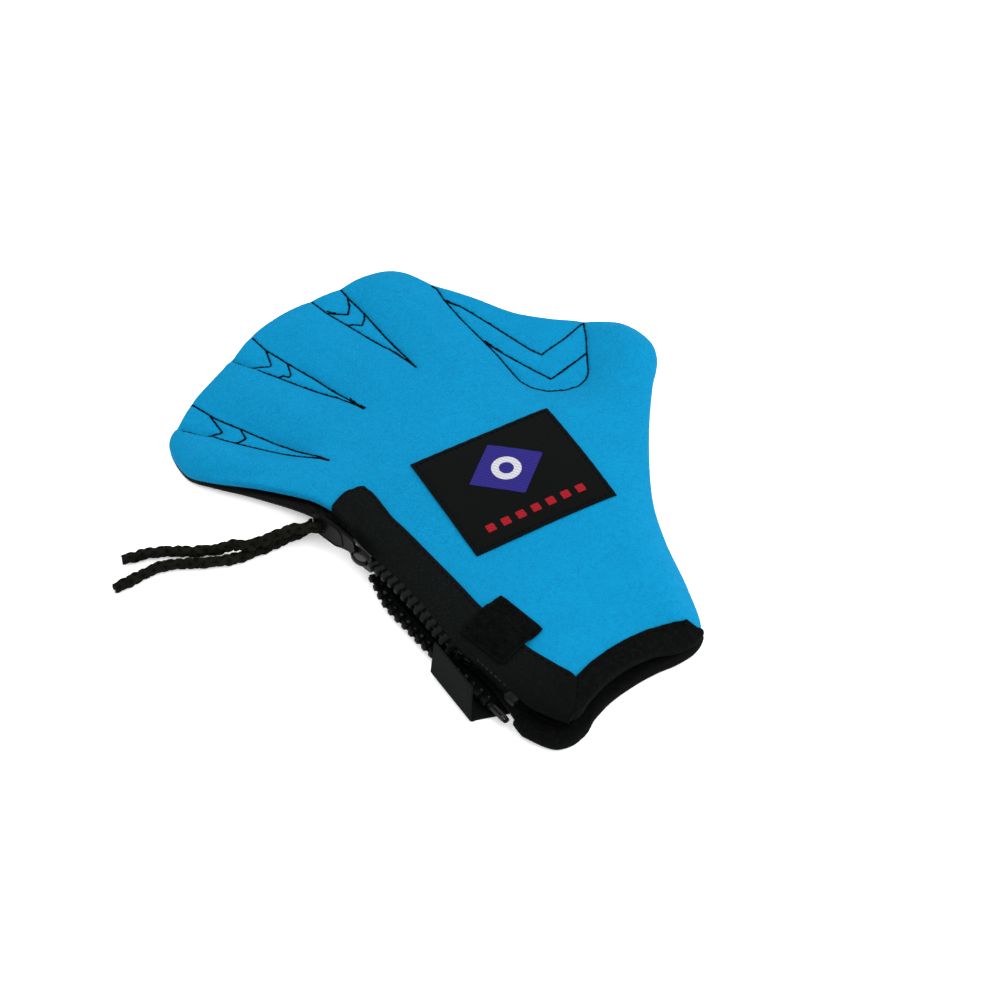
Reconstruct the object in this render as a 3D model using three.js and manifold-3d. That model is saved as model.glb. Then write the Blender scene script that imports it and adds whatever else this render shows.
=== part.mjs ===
// A webbed neoprene swim glove for the left hand, lying palm down with its wrist zip partly open.
// +Y runs toward the fingertips, +X toward the thumb, +Z up. All sizes are in millimetres.
import * as THREE from "three";
import { mergeVertices } from "three/addons/utils/BufferGeometryUtils.js";
import Module from "manifold-3d";

const wasm = await Module();
wasm.setup();

// ---- driving sizes ----
const SHEET = 3; // neoprene sheet
const GAP = 0.3; // between neighbouring pieces
const LAY = 0.5; // under a piece sewn on top of a sheet
const CURL = 9; // width of the palm sheet's curled border
const RIM_STEP = 6; // spacing of points along a rim
const GRID_BACK = 12; // spacing of points inside the back
const GRID_PALM = 17; // spacing of points inside the palm
const WEB_SOFT = 24; // width over which a channel rises beside a web
const TAPE = 0.8; // woven zip tape
const TOOTH = { long: 3.2, wide: 4.6, high: 2.4, pitch: 4.4 };
const BIND = { thick: 1, width: 8.4 };
const STRAP = { wide: 25.4, thick: 1.5, bend: 3, high: 20, run: 18, skew: 0.4, flare: 2, lean: 2.2 };
const PATCH = { side: 23.2, thick: 1.8 };
const LABEL = { wide: 65.6, high: 55.7, thick: 0.7, turn: 0.086 };
const PULLER = { long: 20.2, wide: 12, thick: 1.5, eye: 3 };
const SLIDER = { long: 17, wide: 10.4, thick: 5.6, plate: 1.3 };
const BRIDGE = { from: -4.2, to: 5.4, high: 3, rod: 1.2, wide: 3 }; // the slider's bail, along its length
const CORD = 4.4; // diameter of the braided cord

// ---- the rim of the back sheet, from the wrist's thumb corner round by the fingers ----
// out: how far the palm's own rim lies outside it; wall: how high the palm sheet climbs there;
// bow: how far the palm's curl bulges (negative = flat edge); shelf: lift of the palm's border off the floor;
// lift: how far the opening gapes; soft: width of the rounded shoulder
const RIM = table(
  ["name", "x", "y", "out", "wall", "bow", "shelf", "lift", "soft"],
  ["wrist_corner_thumb", 36.5, -101.6, 0.6, 0, -4.5, 1.5, 0, 14],
  ["wrist_side_thumb", 41.8, -97.6, 0, 0, -4.5, 1.5, 0, 14],
  ["thumb_heel_low", 46.8, -78.5, 0, 0, -4.5, 0, 0, 18],
  ["thumb_heel", 50.2, -52, 0, 0, -4.5, 0, 0, 20],
  ["thumb_heel_high", 55.6, -30.4, 0, 0, -4.5, 0, 0, 20],
  ["thumb_side_low", 70.9, 2.3, 0, 0, -4.5, 0, 0, 17],
  ["thumb_side", 85.9, 27.5, 0, 0, -4.5, 0, 0, 15],
  ["thumb_tip_low", 94.3, 39.5, 0, 0, -4.5, 0, 0, 14],
  ["thumb_tip", 96.2, 49.5, 0, 0, -4.5, 0, 0, 13],
  ["thumb_tip_high", 90, 63.8, 0, 0, -4.5, 0, 0, 13],
  ["thumb_web_start", 74.9, 73.1, 0, 0, -4.5, 0, 0, 13],
  ["thumb_web_low", 61.3, 81.4, 0, 0, -4.5, 0, 0, 14],
  ["thumb_web", 49, 91.3, 0, 0, -4.5, 0, 0, 14],
  ["thumb_web_high", 37.2, 106.6, 0, 0, -4.5, 0, 0, 14],
  ["index_web_start", 23.4, 122.7, 0, 0, -4.5, 0, 0, 14],
  ["index_tip_low", 14.8, 134.6, 0, 0, -4.5, 0, 0, 14],
  ["index_tip", 7.7, 138.8, 0, 0, -4.5, 0, 0, 14],
  ["index_tip_high", -4.3, 139.9, 0, 0, -4.5, 0, 0, 14],
  ["web1_near", -14.9, 137.7, 0, 0, -4.5, 0, 0, 12],
  ["web1_far", -30.1, 136, 0, 0, -4.5, 0, 0, 12],
  ["middle_tip", -45.2, 133.4, 0, 0, -4.5, 0, 0, 14],
  ["web2_near", -61.9, 126.9, 0, 0, -4.5, 0, 0, 12],
  ["web2_far", -73.9, 117.8, 0, 0, -4.5, 0, 0, 12],
  ["ring_tip", -86.4, 109.5, 0, 0, -4.5, 0, 0, 14],
  ["web3_near", -99, 100.7, 0, 0, -4.5, 0, 0, 12],
  ["web3_far", -108.5, 91, 0, 0, -4.5, 0, 0, 10],
  ["little_tip_low", -115.1, 84.3, 0, 0, -4.5, 0, 0, 10],
  ["little_tip", -116.4, 76, 0, 0, -4.5, 0, 0, 10],
  ["little_tip_high", -114.4, 63.5, 0, 0.8, -3.8, 0, 0, 11],
  ["little_side_far", -106.8, 54, 0, 3, -1.5, 0, 0, 12],
  ["little_side", -91.6, 40.2, 0, 6.5, 2, 0, 0, 13],
  ["little_side_near", -74.4, 22.4, 0.4, 9.6, 4.4, 0, 0, 13],
  ["zip_end", -69.6, 13.6, 0.3, 10.2, 4, 0.6, 0.4, 13],
  ["zip_top", -64.9, 4, 0.8, 5.6, 1, 1.2, 2.4, 13],
  ["slider", -59.4, -8, 0.8, 0.3, -4.3, 1.4, 5.8, 12],
  ["zip_fingers", -56, -19, 3.4, 0, -4.5, 1.4, 6, 12],
  ["zip_upper", -51.8, -36, 5.6, 0, -4.5, 1.4, 6.4, 13],
  ["zip_middle", -48, -52, 5.6, 0, -4.5, 1.5, 6.4, 13],
  ["zip_lower", -45, -66, 5, 0, -4.5, 3.1, 4.8, 13],
  ["zip_wrist", -40, -82, 5.2, 0, -4.5, 3.1, 4.8, 14],
  ["zip_open_end", -36.6, -95, 6.4, 0, -4.5, 3.1, 4.8, 15],
  ["wrist_corner_side", -32.6, -105.5, 9.4, 0, -4.5, 2.4, 5.6, 18],
  ["wrist_corner_little", -27.6, -114, 7.2, 0, -4.5, 1.5, 6.2, 20],
  ["wrist_corner_end", -22.6, -115.8, 3.4, 0, -4.5, 1.5, 6.8, 22],
  ["wrist_little", -15.5, -111.8, 2.4, 0, -4.5, 1.5, 7.3, 24],
  ["wrist_inner", -5.5, -107.2, 2.2, 0, -4.5, 1.5, 7.8, 26],
  ["wrist_middle", 6.5, -104, 2.2, 0, -4.5, 1.5, 7.4, 26],
  ["wrist_outer", 18, -102.6, 2, 0, -4.5, 1.5, 5.4, 24],
  ["wrist_thumb", 27.5, -102.9, 1.4, 0, -4.5, 1.5, 2, 19],
);

// ---- how high the hollow stands over the palm, from wrist to fingertips ----
const HOLLOW = table(
  ["name", "y", "high", "thumb_high"],
  ["wrist", -120, 9.4, 7],
  ["heel", -70, 10.4, 7.5],
  ["middle", -10, 9.6, 6.5],
  ["knuckles", 45, 6.4, 5.4],
  ["fingers", 90, 3.8, 4.6],
  ["tips", 140, 2.8, 4],
);
const THUMB_FROM = 30, THUMB_TO = 75; // x over which the thumb's height takes over

// ---- soft folds and swellings of the back: a ridge (+) or dent (-) along a line ----
const FOLDS = table(
  ["name", "x1", "y1", "x2", "y2", "wide", "rise"],
  ["little_finger_swell", -99, 66, -64, 33, 15, 2.4],
  ["little_tip_step", -112, 66, -104, 82, 5, -1],
  ["index_swell", -2, 122, 8, 80, 12, 0.8],
  ["thumb_root_dent", 36, -34, 62, 8, 13, -1],
  ["wrist_dent", -22, -74, 30, -66, 15, -0.9],
  ["palm_swell", -38, 24, 6, 6, 24, 1],
);

// ---- webs: the two sheets are sewn flat together between a pair of lines ----
const WEBS = table(
  ["name", "ax", "ay", "px", "py", "bx", "by"],
  ["web_index_middle", -15.3, 139, -5, 75.9, -29.9, 137.5],
  ["web_middle_ring", -61, 129.5, -34.8, 63, -75.6, 119.5],
  ["web_ring_little", -98.5, 103.5, -59.4, 41.3, -110.8, 91.8],
);
const THUMB_WEB = table(
  ["name", "x", "y"],
  ["index_edge", 21.9, 126], ["index_1", 25.2, 107.6], ["index_2", 27.8, 90], ["index_3", 31.2, 70.5],
  ["root_1", 32.8, 58.2], ["root_2", 34.4, 51.2], ["root_3", 37.9, 45.8], ["root_4", 43.4, 41.9],
  ["root_5", 50.4, 39.9], ["root_6", 57.1, 39.8], ["root_7", 62, 42.9], ["root_8", 65, 48.1],
  ["thumb_1", 67.6, 55.3], ["thumb_2", 74.3, 70.8], ["thumb_edge", 74.6, 75.5], ["free_edge", 60, 102],
);

// ---- the zip: inner edge of each tape (in) and its toothed edge (out), finger end first ----
const TAPE_UP = table(
  ["name", "in_x", "in_y", "out_x", "out_y", "out_z", "dip"],
  ["end", -68.6, 13.4, -69.4, 12.4, 14, 0],
  ["end_curve", -63.2, 16.5, -68.4, 8.6, 13.4, 0],
  ["end_top", -57.8, 18.4, -67, 4, 12.2, 0],
  ["end_corner", -52.8, 18.1, -65.4, -1, 10.8, 0],
  ["slider_far", -49.7, 4.4, -63.8, -7, 10.2, 0],
  ["slider_near", -48.9, -2, -62.2, -13, 10.6, 0],
  ["start", -46.7, -10, -60.8, -19, 12.2, 0],
  ["upper", -42, -29.2, -57.3, -32, 13.6, 0],
  ["middle", -38.3, -44.6, -53.6, -46.5, 13.9, 12],
  ["lower", -34.9, -59.6, -50.4, -63, 13.9, 26],
  ["strap", -26.8, -82.8, -45, -82, 13.9, 150],
  ["wrist", -20.8, -94.2, -41.4, -93, 13.7, 150],
  ["hem", -16.2, -102.8, -37.6, -104.5, 13.3, 150],
  ["hem_low", -19.4, -109.8, -31.6, -112.8, 12.9, 60],
  ["corner", -23.6, -116.6, -26.6, -118.2, 12.7, 60],
);
const TAPE_LOW = table(
  ["name", "in_x", "in_y", "out_x", "out_y", "out_z", "dip"],
  ["end", -51, 1, -62.6, -4, 5.2, 0],
  ["slider", -48.6, -8, -61.8, -11, 5, 0],
  ["start", -47.4, -17, -61.4, -20, 3.9, 0],
  ["upper", -46.5, -30, -61.2, -32, 3.3, 0],
  ["middle", -43.4, -44, -57.9, -46, 3.2, 0],
  ["lower", -40, -58, -54.5, -60, 3.4, 0],
  ["strap", -34.8, -75, -49.3, -76, 3.8, 0],
  ["wrist", -30.6, -92, -44.6, -93, 4, 0],
);
const TEETH_FROM = 5.55, TEETH_TO = 11.15; // rows of the upper table between which the teeth run
const LOW_FROM = 1.75, LOW_TO = 6.85; // the same for the lower table

// ---- where the fittings sit ----
const SLIDER_AT = { x: -64, y: -7.4, z: 7.7, turn: Math.atan2(-0.954, 0.3) };
const PULLER_AT = { x: -76.5, y: 16.4, z: 1.2, ux: 0.287, uy: -0.939, uz: 0.188, lean: 1 };
const STRAP_AT = { x: -61.8, y: -68.4, ux: 0.165, uy: -0.986 };
const PATCH_AT = { x: -32.4, y: -71, turn: 0.37 };
const LABEL_AT = { x: 4.1, y: -3.9 };

// ---- the two legs of the cord, from the eye to the cut ends ----
const LEG_A = table(
  ["name", "x", "y", "z"],
  ["eye", -73.3, 13.3, 7.9], ["through", -77, 12.4, 8.2], ["over", -80.6, 14, 8.3], ["top_1", -85, 15.8, 7.9], ["top_2", -91.2, 16.4, 7.5],
  ["top_3", -100.5, 15.9, 7.4], ["top_4", -106.6, 17.2, 7.2], ["slip", -110.8, 20.6, 5.5], ["floor_1", -115.5, 23.1, 2.7],
  ["floor_2", -121, 24.9, 2.4], ["bend_1", -126.6, 27.2, 2.3], ["bend_2", -139, 32.6, 2.3], ["cut", -152.8, 34.8, 2.3],
);
const LEG_B = table(
  ["name", "x", "y", "z"],
  ["eye", -80.5, 17.4, 2.5], ["floor_1", -84.6, 17.2, 2.3], ["floor_2", -91, 16.8, 2.3], ["floor_3", -101.2, 16, 2.3],
  ["bend_1", -111.8, 16.2, 2.3], ["bend_2", -123.4, 19.4, 2.3], ["bend_3", -132.9, 23.1, 2.3],
  ["bend_4", -141.8, 24.9, 2.3], ["bend_5", -151.7, 23.4, 2.3], ["cut", -160.4, 22.4, 2.3],
);

const COLOUR = { blue: 0x1a9ad4, palm: 0x262826, black: 0x1b1c1d, tape: 0x202122, teeth: 0x2a2b2c, strap: 0x4a4d50, label: 0x1c1d1f };

// ================= helpers =================
function table(columns, ...rows) {
  return rows.map((r) => Object.fromEntries(columns.map((c, i) => [c, r[i]])));
}
const clamp = (v, a = 0, b = 1) => Math.min(b, Math.max(a, v));
const smooth = (a, b, v) => { const t = clamp((v - a) / (b - a)); return t * t * (3 - 2 * t); };
const round1 = (v) => 1 - (1 - clamp(v)) ** 2; // rounded shoulder from 0 to 1
const mix = (a, b, t) => a + (b - a) * t;

// A closed rim through the rows, offset outward by `out` of each row when asked.
function rimLine(withOut) {
  const curve = new THREE.CatmullRomCurve3(RIM.map((r) => new THREE.Vector3(r.x, r.y, 0)), true, "centripetal");
  const pts = [];
  RIM.forEach((r, i) => {
    const s = RIM[(i + 1) % RIM.length];
    const n = Math.max(1, Math.round(Math.hypot(s.x - r.x, s.y - r.y) / RIM_STEP));
    for (let k = 0; k < n; k++) {
      const f = k / n, p = curve.getPoint((i + f) / RIM.length), q = { x: p.x, y: p.y, row: i + f };
      for (const c of ["out", "wall", "bow", "shelf", "lift", "soft"]) q[c] = mix(r[c], s[c], f);
      pts.push(q);
    }
  });
  addNormals(pts);
  if (withOut) {
    for (const p of pts) { p.x -= p.nx * p.out; p.y -= p.ny * p.out; }
    addNormals(pts);
  }
  return pts;
}
function addNormals(pts) {
  const n = pts.length;
  pts.forEach((p, i) => {
    const a = pts[(i + n - 1) % n], b = pts[(i + 1) % n], l = Math.hypot(b.x - a.x, b.y - a.y);
    p.nx = -(b.y - a.y) / l; p.ny = (b.x - a.x) / l;
  });
}
// The nearest place on a rim, with the rim's own numbers there.
function near(rim, x, y) {
  let best = null;
  for (let i = 0; i < rim.length; i++) {
    const a = rim[i], b = rim[(i + 1) % rim.length], dx = b.x - a.x, dy = b.y - a.y;
    const t = clamp(((x - a.x) * dx + (y - a.y) * dy) / (dx * dx + dy * dy));
    const d = Math.hypot(x - a.x - t * dx, y - a.y - t * dy);
    if (!best || d < best.d) best = { d, t, a, b };
  }
  const { a, b, t, d } = best, r = { d };
  for (const c of ["x", "y", "nx", "ny", "wall", "bow", "shelf", "lift", "soft"]) r[c] = mix(a[c], b[c], t);
  const l = Math.hypot(r.nx, r.ny); r.nx /= l; r.ny /= l;
  r.side = (x - r.x) * r.nx + (y - r.y) * r.ny; // negative outside the rim
  return r;
}
function segDistance(x, y, ax, ay, bx, by) {
  const dx = bx - ax, dy = by - ay, t = clamp(((x - ax) * dx + (y - ay) * dy) / (dx * dx + dy * dy));
  return Math.hypot(x - ax - t * dx, y - ay - t * dy);
}
function inside(poly, x, y) {
  let c = false;
  for (let i = 0, j = poly.length - 1; i < poly.length; j = i++) {
    const a = poly[i], b = poly[j];
    if (a.y > y !== b.y > y && x < ((b.x - a.x) * (y - a.y)) / (b.y - a.y) + a.x) c = !c;
  }
  return c;
}
function column(rows, key, at, col) {
  let i = 0;
  while (i < rows.length - 2 && (rows[i + 1][key] < at)) i++;
  return mix(rows[i][col], rows[i + 1][col], clamp((at - rows[i][key]) / (rows[i + 1][key] - rows[i][key])));
}

// ================= surfaces =================
const BACK_RIM = rimLine(false);
const PALM_RIM = rimLine(true);
const WEB_POLYS = WEBS.map((w) => [{ x: w.ax, y: w.ay }, { x: w.px, y: w.py }, { x: w.bx, y: w.by }]).concat([THUMB_WEB]);

// Distance outside the nearest web, 0 inside one.
function webDistance(x, y) {
  let d = 1e9;
  for (const poly of WEB_POLYS) {
    if (inside(poly, x, y)) return 0;
    poly.forEach((a, i) => { const b = poly[(i + 1) % poly.length]; d = Math.min(d, segDistance(x, y, a.x, a.y, b.x, b.y)); });
  }
  return d;
}
// Top of the palm sheet's edge at a place on the rim.
function palmTop(r) {
  const l = Math.hypot(r.bow, r.wall);
  return r.shelf + r.wall + SHEET * clamp(-r.bow / l);
}
// Height of the back sheet's inner face.
function backInner(x, y) {
  const r = near(BACK_RIM, x, y), thumb = smooth(THUMB_FROM, THUMB_TO, x);
  let full = SHEET + GAP + mix(column(HOLLOW, "y", y, "high"), column(HOLLOW, "y", y, "thumb_high"), thumb);
  for (const f of FOLDS) {
    const d = segDistance(x, y, f.x1, f.y1, f.x2, f.y2);
    full += f.rise * Math.exp(-((d / f.wide) ** 2));
  }
  const edge = palmTop(r) + GAP + r.lift;
  const d = Math.max(0, r.side);
  let z = edge + (full - edge) * round1(d / r.soft);
  const floor = SHEET + GAP;
  const w = round1(webDistance(x, y) / WEB_SOFT);
  z = floor + Math.max(0, z - floor) * w + 0 * w;
  return Math.max(z, floor + (r.shelf + r.wall) * (1 - smooth(8, 26, d)) * 0.999 * (w > 0 ? 1 : 0));
}
// Height of the back sheet's outer face: the sheet's thickness is measured square to it, and straight up at its rim.
function backOuter(x, y) {
  const e = 0.8, r = near(BACK_RIM, x, y);
  const gx = (backInner(x + e, y) - backInner(x - e, y)) / (2 * e), gy = (backInner(x, y + e) - backInner(x, y - e)) / (2 * e);
  const k = smooth(1, 9, r.side);
  return backInner(x, y) + SHEET * Math.sqrt(1 + k * Math.min(2, gx * gx + gy * gy));
}
// The palm sheet's outer (lower) face.
function palmOuter(x, y) {
  const r = near(PALM_RIM, x, y), d = Math.max(0, r.side);
  const shelf = r.shelf * (1 - smooth(16, 30, d));
  if (d >= CURL) return new THREE.Vector3(x, y, shelf);
  const u = 1 - d / CURL, e = -CURL * (1 - u) ** 2 + 2 * u * (1 - u) * r.bow;
  return new THREE.Vector3(r.x - r.nx * e, r.y - r.ny * e, u * u * r.wall + shelf);
}

// ================= meshes =================
function delaunay(pts) {
  const P = pts.map((p) => [p.x + 1e-4 * Math.sin(p.y * 37.1 + p.x), p.y + 1e-4 * Math.cos(p.x * 29.3 + p.y)]), n = P.length;
  P.push([-5000, -4000], [5000, -4000], [0, 6000]);
  const circle = (a, b, c) => {
    const [ax, ay] = P[a], bx = P[b][0] - ax, by = P[b][1] - ay, cx = P[c][0] - ax, cy = P[c][1] - ay, d = 2 * (bx * cy - by * cx);
    const ux = (cy * (bx * bx + by * by) - by * (cx * cx + cy * cy)) / d, uy = (bx * (cx * cx + cy * cy) - cx * (bx * bx + by * by)) / d;
    return { v: [a, b, c], x: ax + ux, y: ay + uy, r: ux * ux + uy * uy };
  };
  let tris = [circle(n, n + 1, n + 2)];
  for (let i = 0; i < n; i++) {
    const [x, y] = P[i], edges = new Map(), keep = [];
    for (const t of tris) {
      if ((x - t.x) ** 2 + (y - t.y) ** 2 < t.r) {
        for (let k = 0; k < 3; k++) {
          const a = t.v[k], b = t.v[(k + 1) % 3], back = b + "," + a;
          if (edges.has(back)) edges.delete(back); else edges.set(a + "," + b, [a, b]);
        }
      } else keep.push(t);
    }
    for (const [a, b] of edges.values()) keep.push(circle(a, b, i));
    tris = keep;
  }
  return tris.map((t) => t.v).filter((v) => v.every((i) => i < n));
}
// Points over the inside of a rim: the rim, rings along it, given lines, and a grid.
function layout(rim, rings, lines, spacing) {
  const pts = rim.map((p) => ({ x: p.x, y: p.y }));
  const free = (x, y, room) => pts.every((p) => (p.x - x) ** 2 + (p.y - y) ** 2 > room * room);
  for (const ring of rings)
    for (const p of rim) {
      if (ring.only && !ring.only(p)) continue;
      const x = p.x + p.nx * ring.d, y = p.y + p.ny * ring.d, r = near(rim, x, y);
      if (r.side > ring.d * 0.85 && inside(rim, x, y) && free(x, y, Math.min(3, ring.d * 0.7))) pts.push({ x, y });
    }
  for (const l of lines) {
    const n = Math.max(1, Math.round(Math.hypot(l.bx - l.ax, l.by - l.ay) / l.step));
    for (let k = 0; k <= n; k++) {
      const x = mix(l.ax, l.bx, k / n), y = mix(l.ay, l.by, k / n);
      if (inside(rim, x, y) && near(rim, x, y).side > 2.2 && free(x, y, 2)) pts.push({ x, y });
    }
  }
  const last = rings[rings.length - 1].d;
  for (let j = -20; j <= 20; j++)
    for (let i = -20; i <= 20; i++) {
      const x = (i + (j & 1) / 2) * spacing, y = j * spacing * 0.866;
      if (inside(rim, x, y) && near(rim, x, y).side > last * 0.7 && free(x, y, spacing * 0.55)) pts.push({ x, y });
    }
  const tris = delaunay(pts).filter((t) => inside(rim, (pts[t[0]].x + pts[t[1]].x + pts[t[2]].x) / 3, (pts[t[0]].y + pts[t[1]].y + pts[t[2]].y) / 3));
  return { pts, tris: tris.map(([a, b, c]) => (cross2(pts[a], pts[b], pts[c]) > 0 ? [a, b, c] : [a, c, b])) };
}
const cross2 = (a, b, c) => (b.x - a.x) * (c.y - a.y) - (b.y - a.y) * (c.x - a.x);

// A closed sheet between an upper and a lower set of points over the same triangles.
function sheetGeometry(tris, upper, lower) {
  const n = upper.length, index = [], count = new Map();
  for (const [a, b, c] of tris) {
    index.push(a, b, c, n + a, n + c, n + b);
    for (const [p, q] of [[a, b], [b, c], [c, a]]) count.set(p + "," + q, [p, q]);
  }
  for (const [p, q] of count.values()) if (!count.has(q + "," + p)) index.push(p, n + p, n + q, p, n + q, q);
  return geometry(upper.concat(lower), index);
}
function geometry(points, index) {
  const g = new THREE.BufferGeometry();
  g.setAttribute("position", new THREE.BufferAttribute(new Float32Array(points.flatMap((p) => [p.x, p.y, p.z])), 3));
  g.setIndex(index);
  return g;
}
function vertexNormals(points, tris) {
  const out = points.map(() => new THREE.Vector3());
  for (const [a, b, c] of tris) {
    const n = new THREE.Vector3().subVectors(points[b], points[a]).cross(new THREE.Vector3().subVectors(points[c], points[a]));
    for (const i of [a, b, c]) out[i].add(n);
  }
  return out.map((v) => v.normalize());
}
// A closed plate between two grids of points, faces turned outward.
function plate(outer, inner) {
  const rows = outer.length, cols = outer[0].length, id = (s, r, c) => s * rows * cols + r * cols + c, index = [];
  const quad = (a, b, c, d) => index.push(a, b, c, a, c, d);
  for (let r = 0; r < rows - 1; r++)
    for (let c = 0; c < cols - 1; c++) {
      quad(id(0, r, c), id(0, r + 1, c), id(0, r + 1, c + 1), id(0, r, c + 1));
      quad(id(1, r, c), id(1, r, c + 1), id(1, r + 1, c + 1), id(1, r + 1, c));
    }
  for (let r = 0; r < rows - 1; r++) {
    quad(id(0, r, 0), id(1, r, 0), id(1, r + 1, 0), id(0, r + 1, 0));
    quad(id(0, r, cols - 1), id(0, r + 1, cols - 1), id(1, r + 1, cols - 1), id(1, r, cols - 1));
  }
  for (let c = 0; c < cols - 1; c++) {
    quad(id(0, 0, c), id(0, 0, c + 1), id(1, 0, c + 1), id(1, 0, c));
    quad(id(0, rows - 1, c), id(1, rows - 1, c), id(1, rows - 1, c + 1), id(0, rows - 1, c + 1));
  }
  const g = geometry(outer.flat().concat(inner.flat()), index);
  if (signedVolume(g) < 0) { const a = g.index.array; for (let i = 0; i < a.length; i += 3) [a[i + 1], a[i + 2]] = [a[i + 2], a[i + 1]]; }
  return g;
}
function signedVolume(g) {
  const p = g.attributes.position, ix = g.index.array, a = new THREE.Vector3(), b = new THREE.Vector3(), c = new THREE.Vector3();
  let v = 0;
  for (let i = 0; i < ix.length; i += 3) {
    a.fromBufferAttribute(p, ix[i]); b.fromBufferAttribute(p, ix[i + 1]); c.fromBufferAttribute(p, ix[i + 2]);
    v += a.dot(b.cross(c));
  }
  return v;
}
// manifold-3d solids
function solid(g) {
  let h = g.clone();
  h.deleteAttribute("normal"); h.deleteAttribute("uv");
  h = mergeVertices(h, 1e-3);
  return new wasm.Manifold(new wasm.Mesh({ numProp: 3, vertProperties: h.attributes.position.array, triVerts: new Uint32Array(h.index.array) }));
}
function fromSolid(s) {
  const m = s.getMesh(), g = new THREE.BufferGeometry();
  g.setAttribute("position", new THREE.BufferAttribute(new Float32Array(m.vertProperties), 3));
  g.setIndex(new THREE.BufferAttribute(new Uint32Array(m.triVerts), 1));
  return g;
}
const largest = (s) => s.decompose().sort((a, b) => b.volume() - a.volume())[0];
function union(list) {
  let s = solid(list[0]);
  for (const g of list.slice(1)) s = s.add(solid(g));
  return s;
}

const glove = new THREE.Group();
function add(name, g, colour, roughness = 0.9, metalness = 0) {
  const h = g.index ? g.toNonIndexed() : g;
  h.deleteAttribute("uv"); h.computeVertexNormals();
  const m = new THREE.Mesh(h, new THREE.MeshStandardMaterial({ color: colour, roughness, metalness }));
  m.name = name;
  glove.add(m);
}

// ---- back panel ----
const webLines = [];
for (const poly of WEB_POLYS)
  poly.forEach((a, i) => {
    const b = poly[(i + 1) % poly.length], l = Math.hypot(b.x - a.x, b.y - a.y), nx = (b.y - a.y) / l, ny = -(b.x - a.x) / l;
    const mx = (a.x + b.x) / 2, my = (a.y + b.y) / 2, s = inside(poly, mx + nx, my + ny) ? -1 : 1;
    for (const o of [0, 3.6, 8.2]) webLines.push({ ax: a.x + nx * o * s, ay: a.y + ny * o * s, bx: b.x + nx * o * s, by: b.y + ny * o * s, step: o ? 9 : 7 });
  });
const backLay = layout(BACK_RIM, [{ d: 3 }, { d: 7.5 }, { d: 13 }], webLines, GRID_BACK);
add("back_panel", sheetGeometry(backLay.tris,
  backLay.pts.map((p) => new THREE.Vector3(p.x, p.y, backOuter(p.x, p.y))),
  backLay.pts.map((p) => new THREE.Vector3(p.x, p.y, backInner(p.x, p.y)))), COLOUR.blue);

// ---- palm panel ----
const curled = (p) => p.wall > 0.3 || p.shelf > 0.1;
const palmLay = layout(PALM_RIM, [{ d: 1.6, only: (p) => p.wall > 2 }, { d: 4 }, { d: 6.6, only: (p) => p.wall > 0.3 }, { d: 9.2 }, { d: 16, only: curled }, { d: 22, only: curled }, { d: 30, only: curled }], [], GRID_PALM);
const palmLower = palmLay.pts.map((p) => palmOuter(p.x, p.y));
const palmNormal = vertexNormals(palmLower, palmLay.tris);
const palmUpper = palmLower.map((p, i) => p.clone().addScaledVector(palmNormal[i], SHEET));
add("palm_panel", sheetGeometry(palmLay.tris, palmUpper, palmLower), COLOUR.palm);

// ---- wrist binding: a folded strip over each panel's wrist edge, joined round the thumb corner ----
function rimStations(rim, from, to, step) {
  const out = [], n = RIM.length, pts = rim.map((p) => ({ ...p }));
  const at = (row) => {
    row = ((row % n) + n) % n;
    let i = 0;
    while (i < pts.length - 1 && pts[i + 1].row <= row) i++;
    const a = pts[i], b = pts[(i + 1) % pts.length], end = i === pts.length - 1 ? n : b.row, t = (row - a.row) / (end - a.row), q = {};
    for (const c of ["x", "y", "nx", "ny"]) q[c] = mix(a[c], b[c], t);
    const l = Math.hypot(q.nx, q.ny); q.nx /= l; q.ny /= l; q.row = row;
    return q;
  };
  const count = Math.round((to - from) / step);
  for (let k = 0; k <= count; k++) out.push(at(mix(from, to, k / count)));
  return out;
}
// Faces of a panel at a depth d in from a place on its rim.
const backFaces = (s, d) => { const x = s.x + s.nx * Math.max(0.01, d), y = s.y + s.ny * Math.max(0.01, d); return [backOuter(x, y), backInner(x, y)]; };
const palmFaces = (s, d) => { const p = palmOuter(s.x + s.nx * Math.max(0.01, d), s.y + s.ny * Math.max(0.01, d)); return [p.z + SHEET, p.z]; };
const DEPTHS = [1, 0.6, 0.25, 0];
function folded(stations, faces, width, near0, far0) {
  const ring = (s, w, grow) => {
    const line = [], at = (d, z) => line.push(new THREE.Vector3(s.x + s.nx * d, s.y + s.ny * d, z));
    for (const f of DEPTHS) at(f * w + 0.02, faces(s, f * w)[0] + grow);
    const [t, b] = faces(s, 0);
    at(-grow, t + grow * 0.25); at(-grow, b - grow * 0.25);
    for (const f of DEPTHS.slice().reverse()) at(f * w + 0.02, faces(s, f * w)[1] - grow);
    return line;
  };
  return plate(stations.map((s) => ring(s, width(s), far0)), stations.map((s) => ring(s, width(s), near0)));
}
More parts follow.
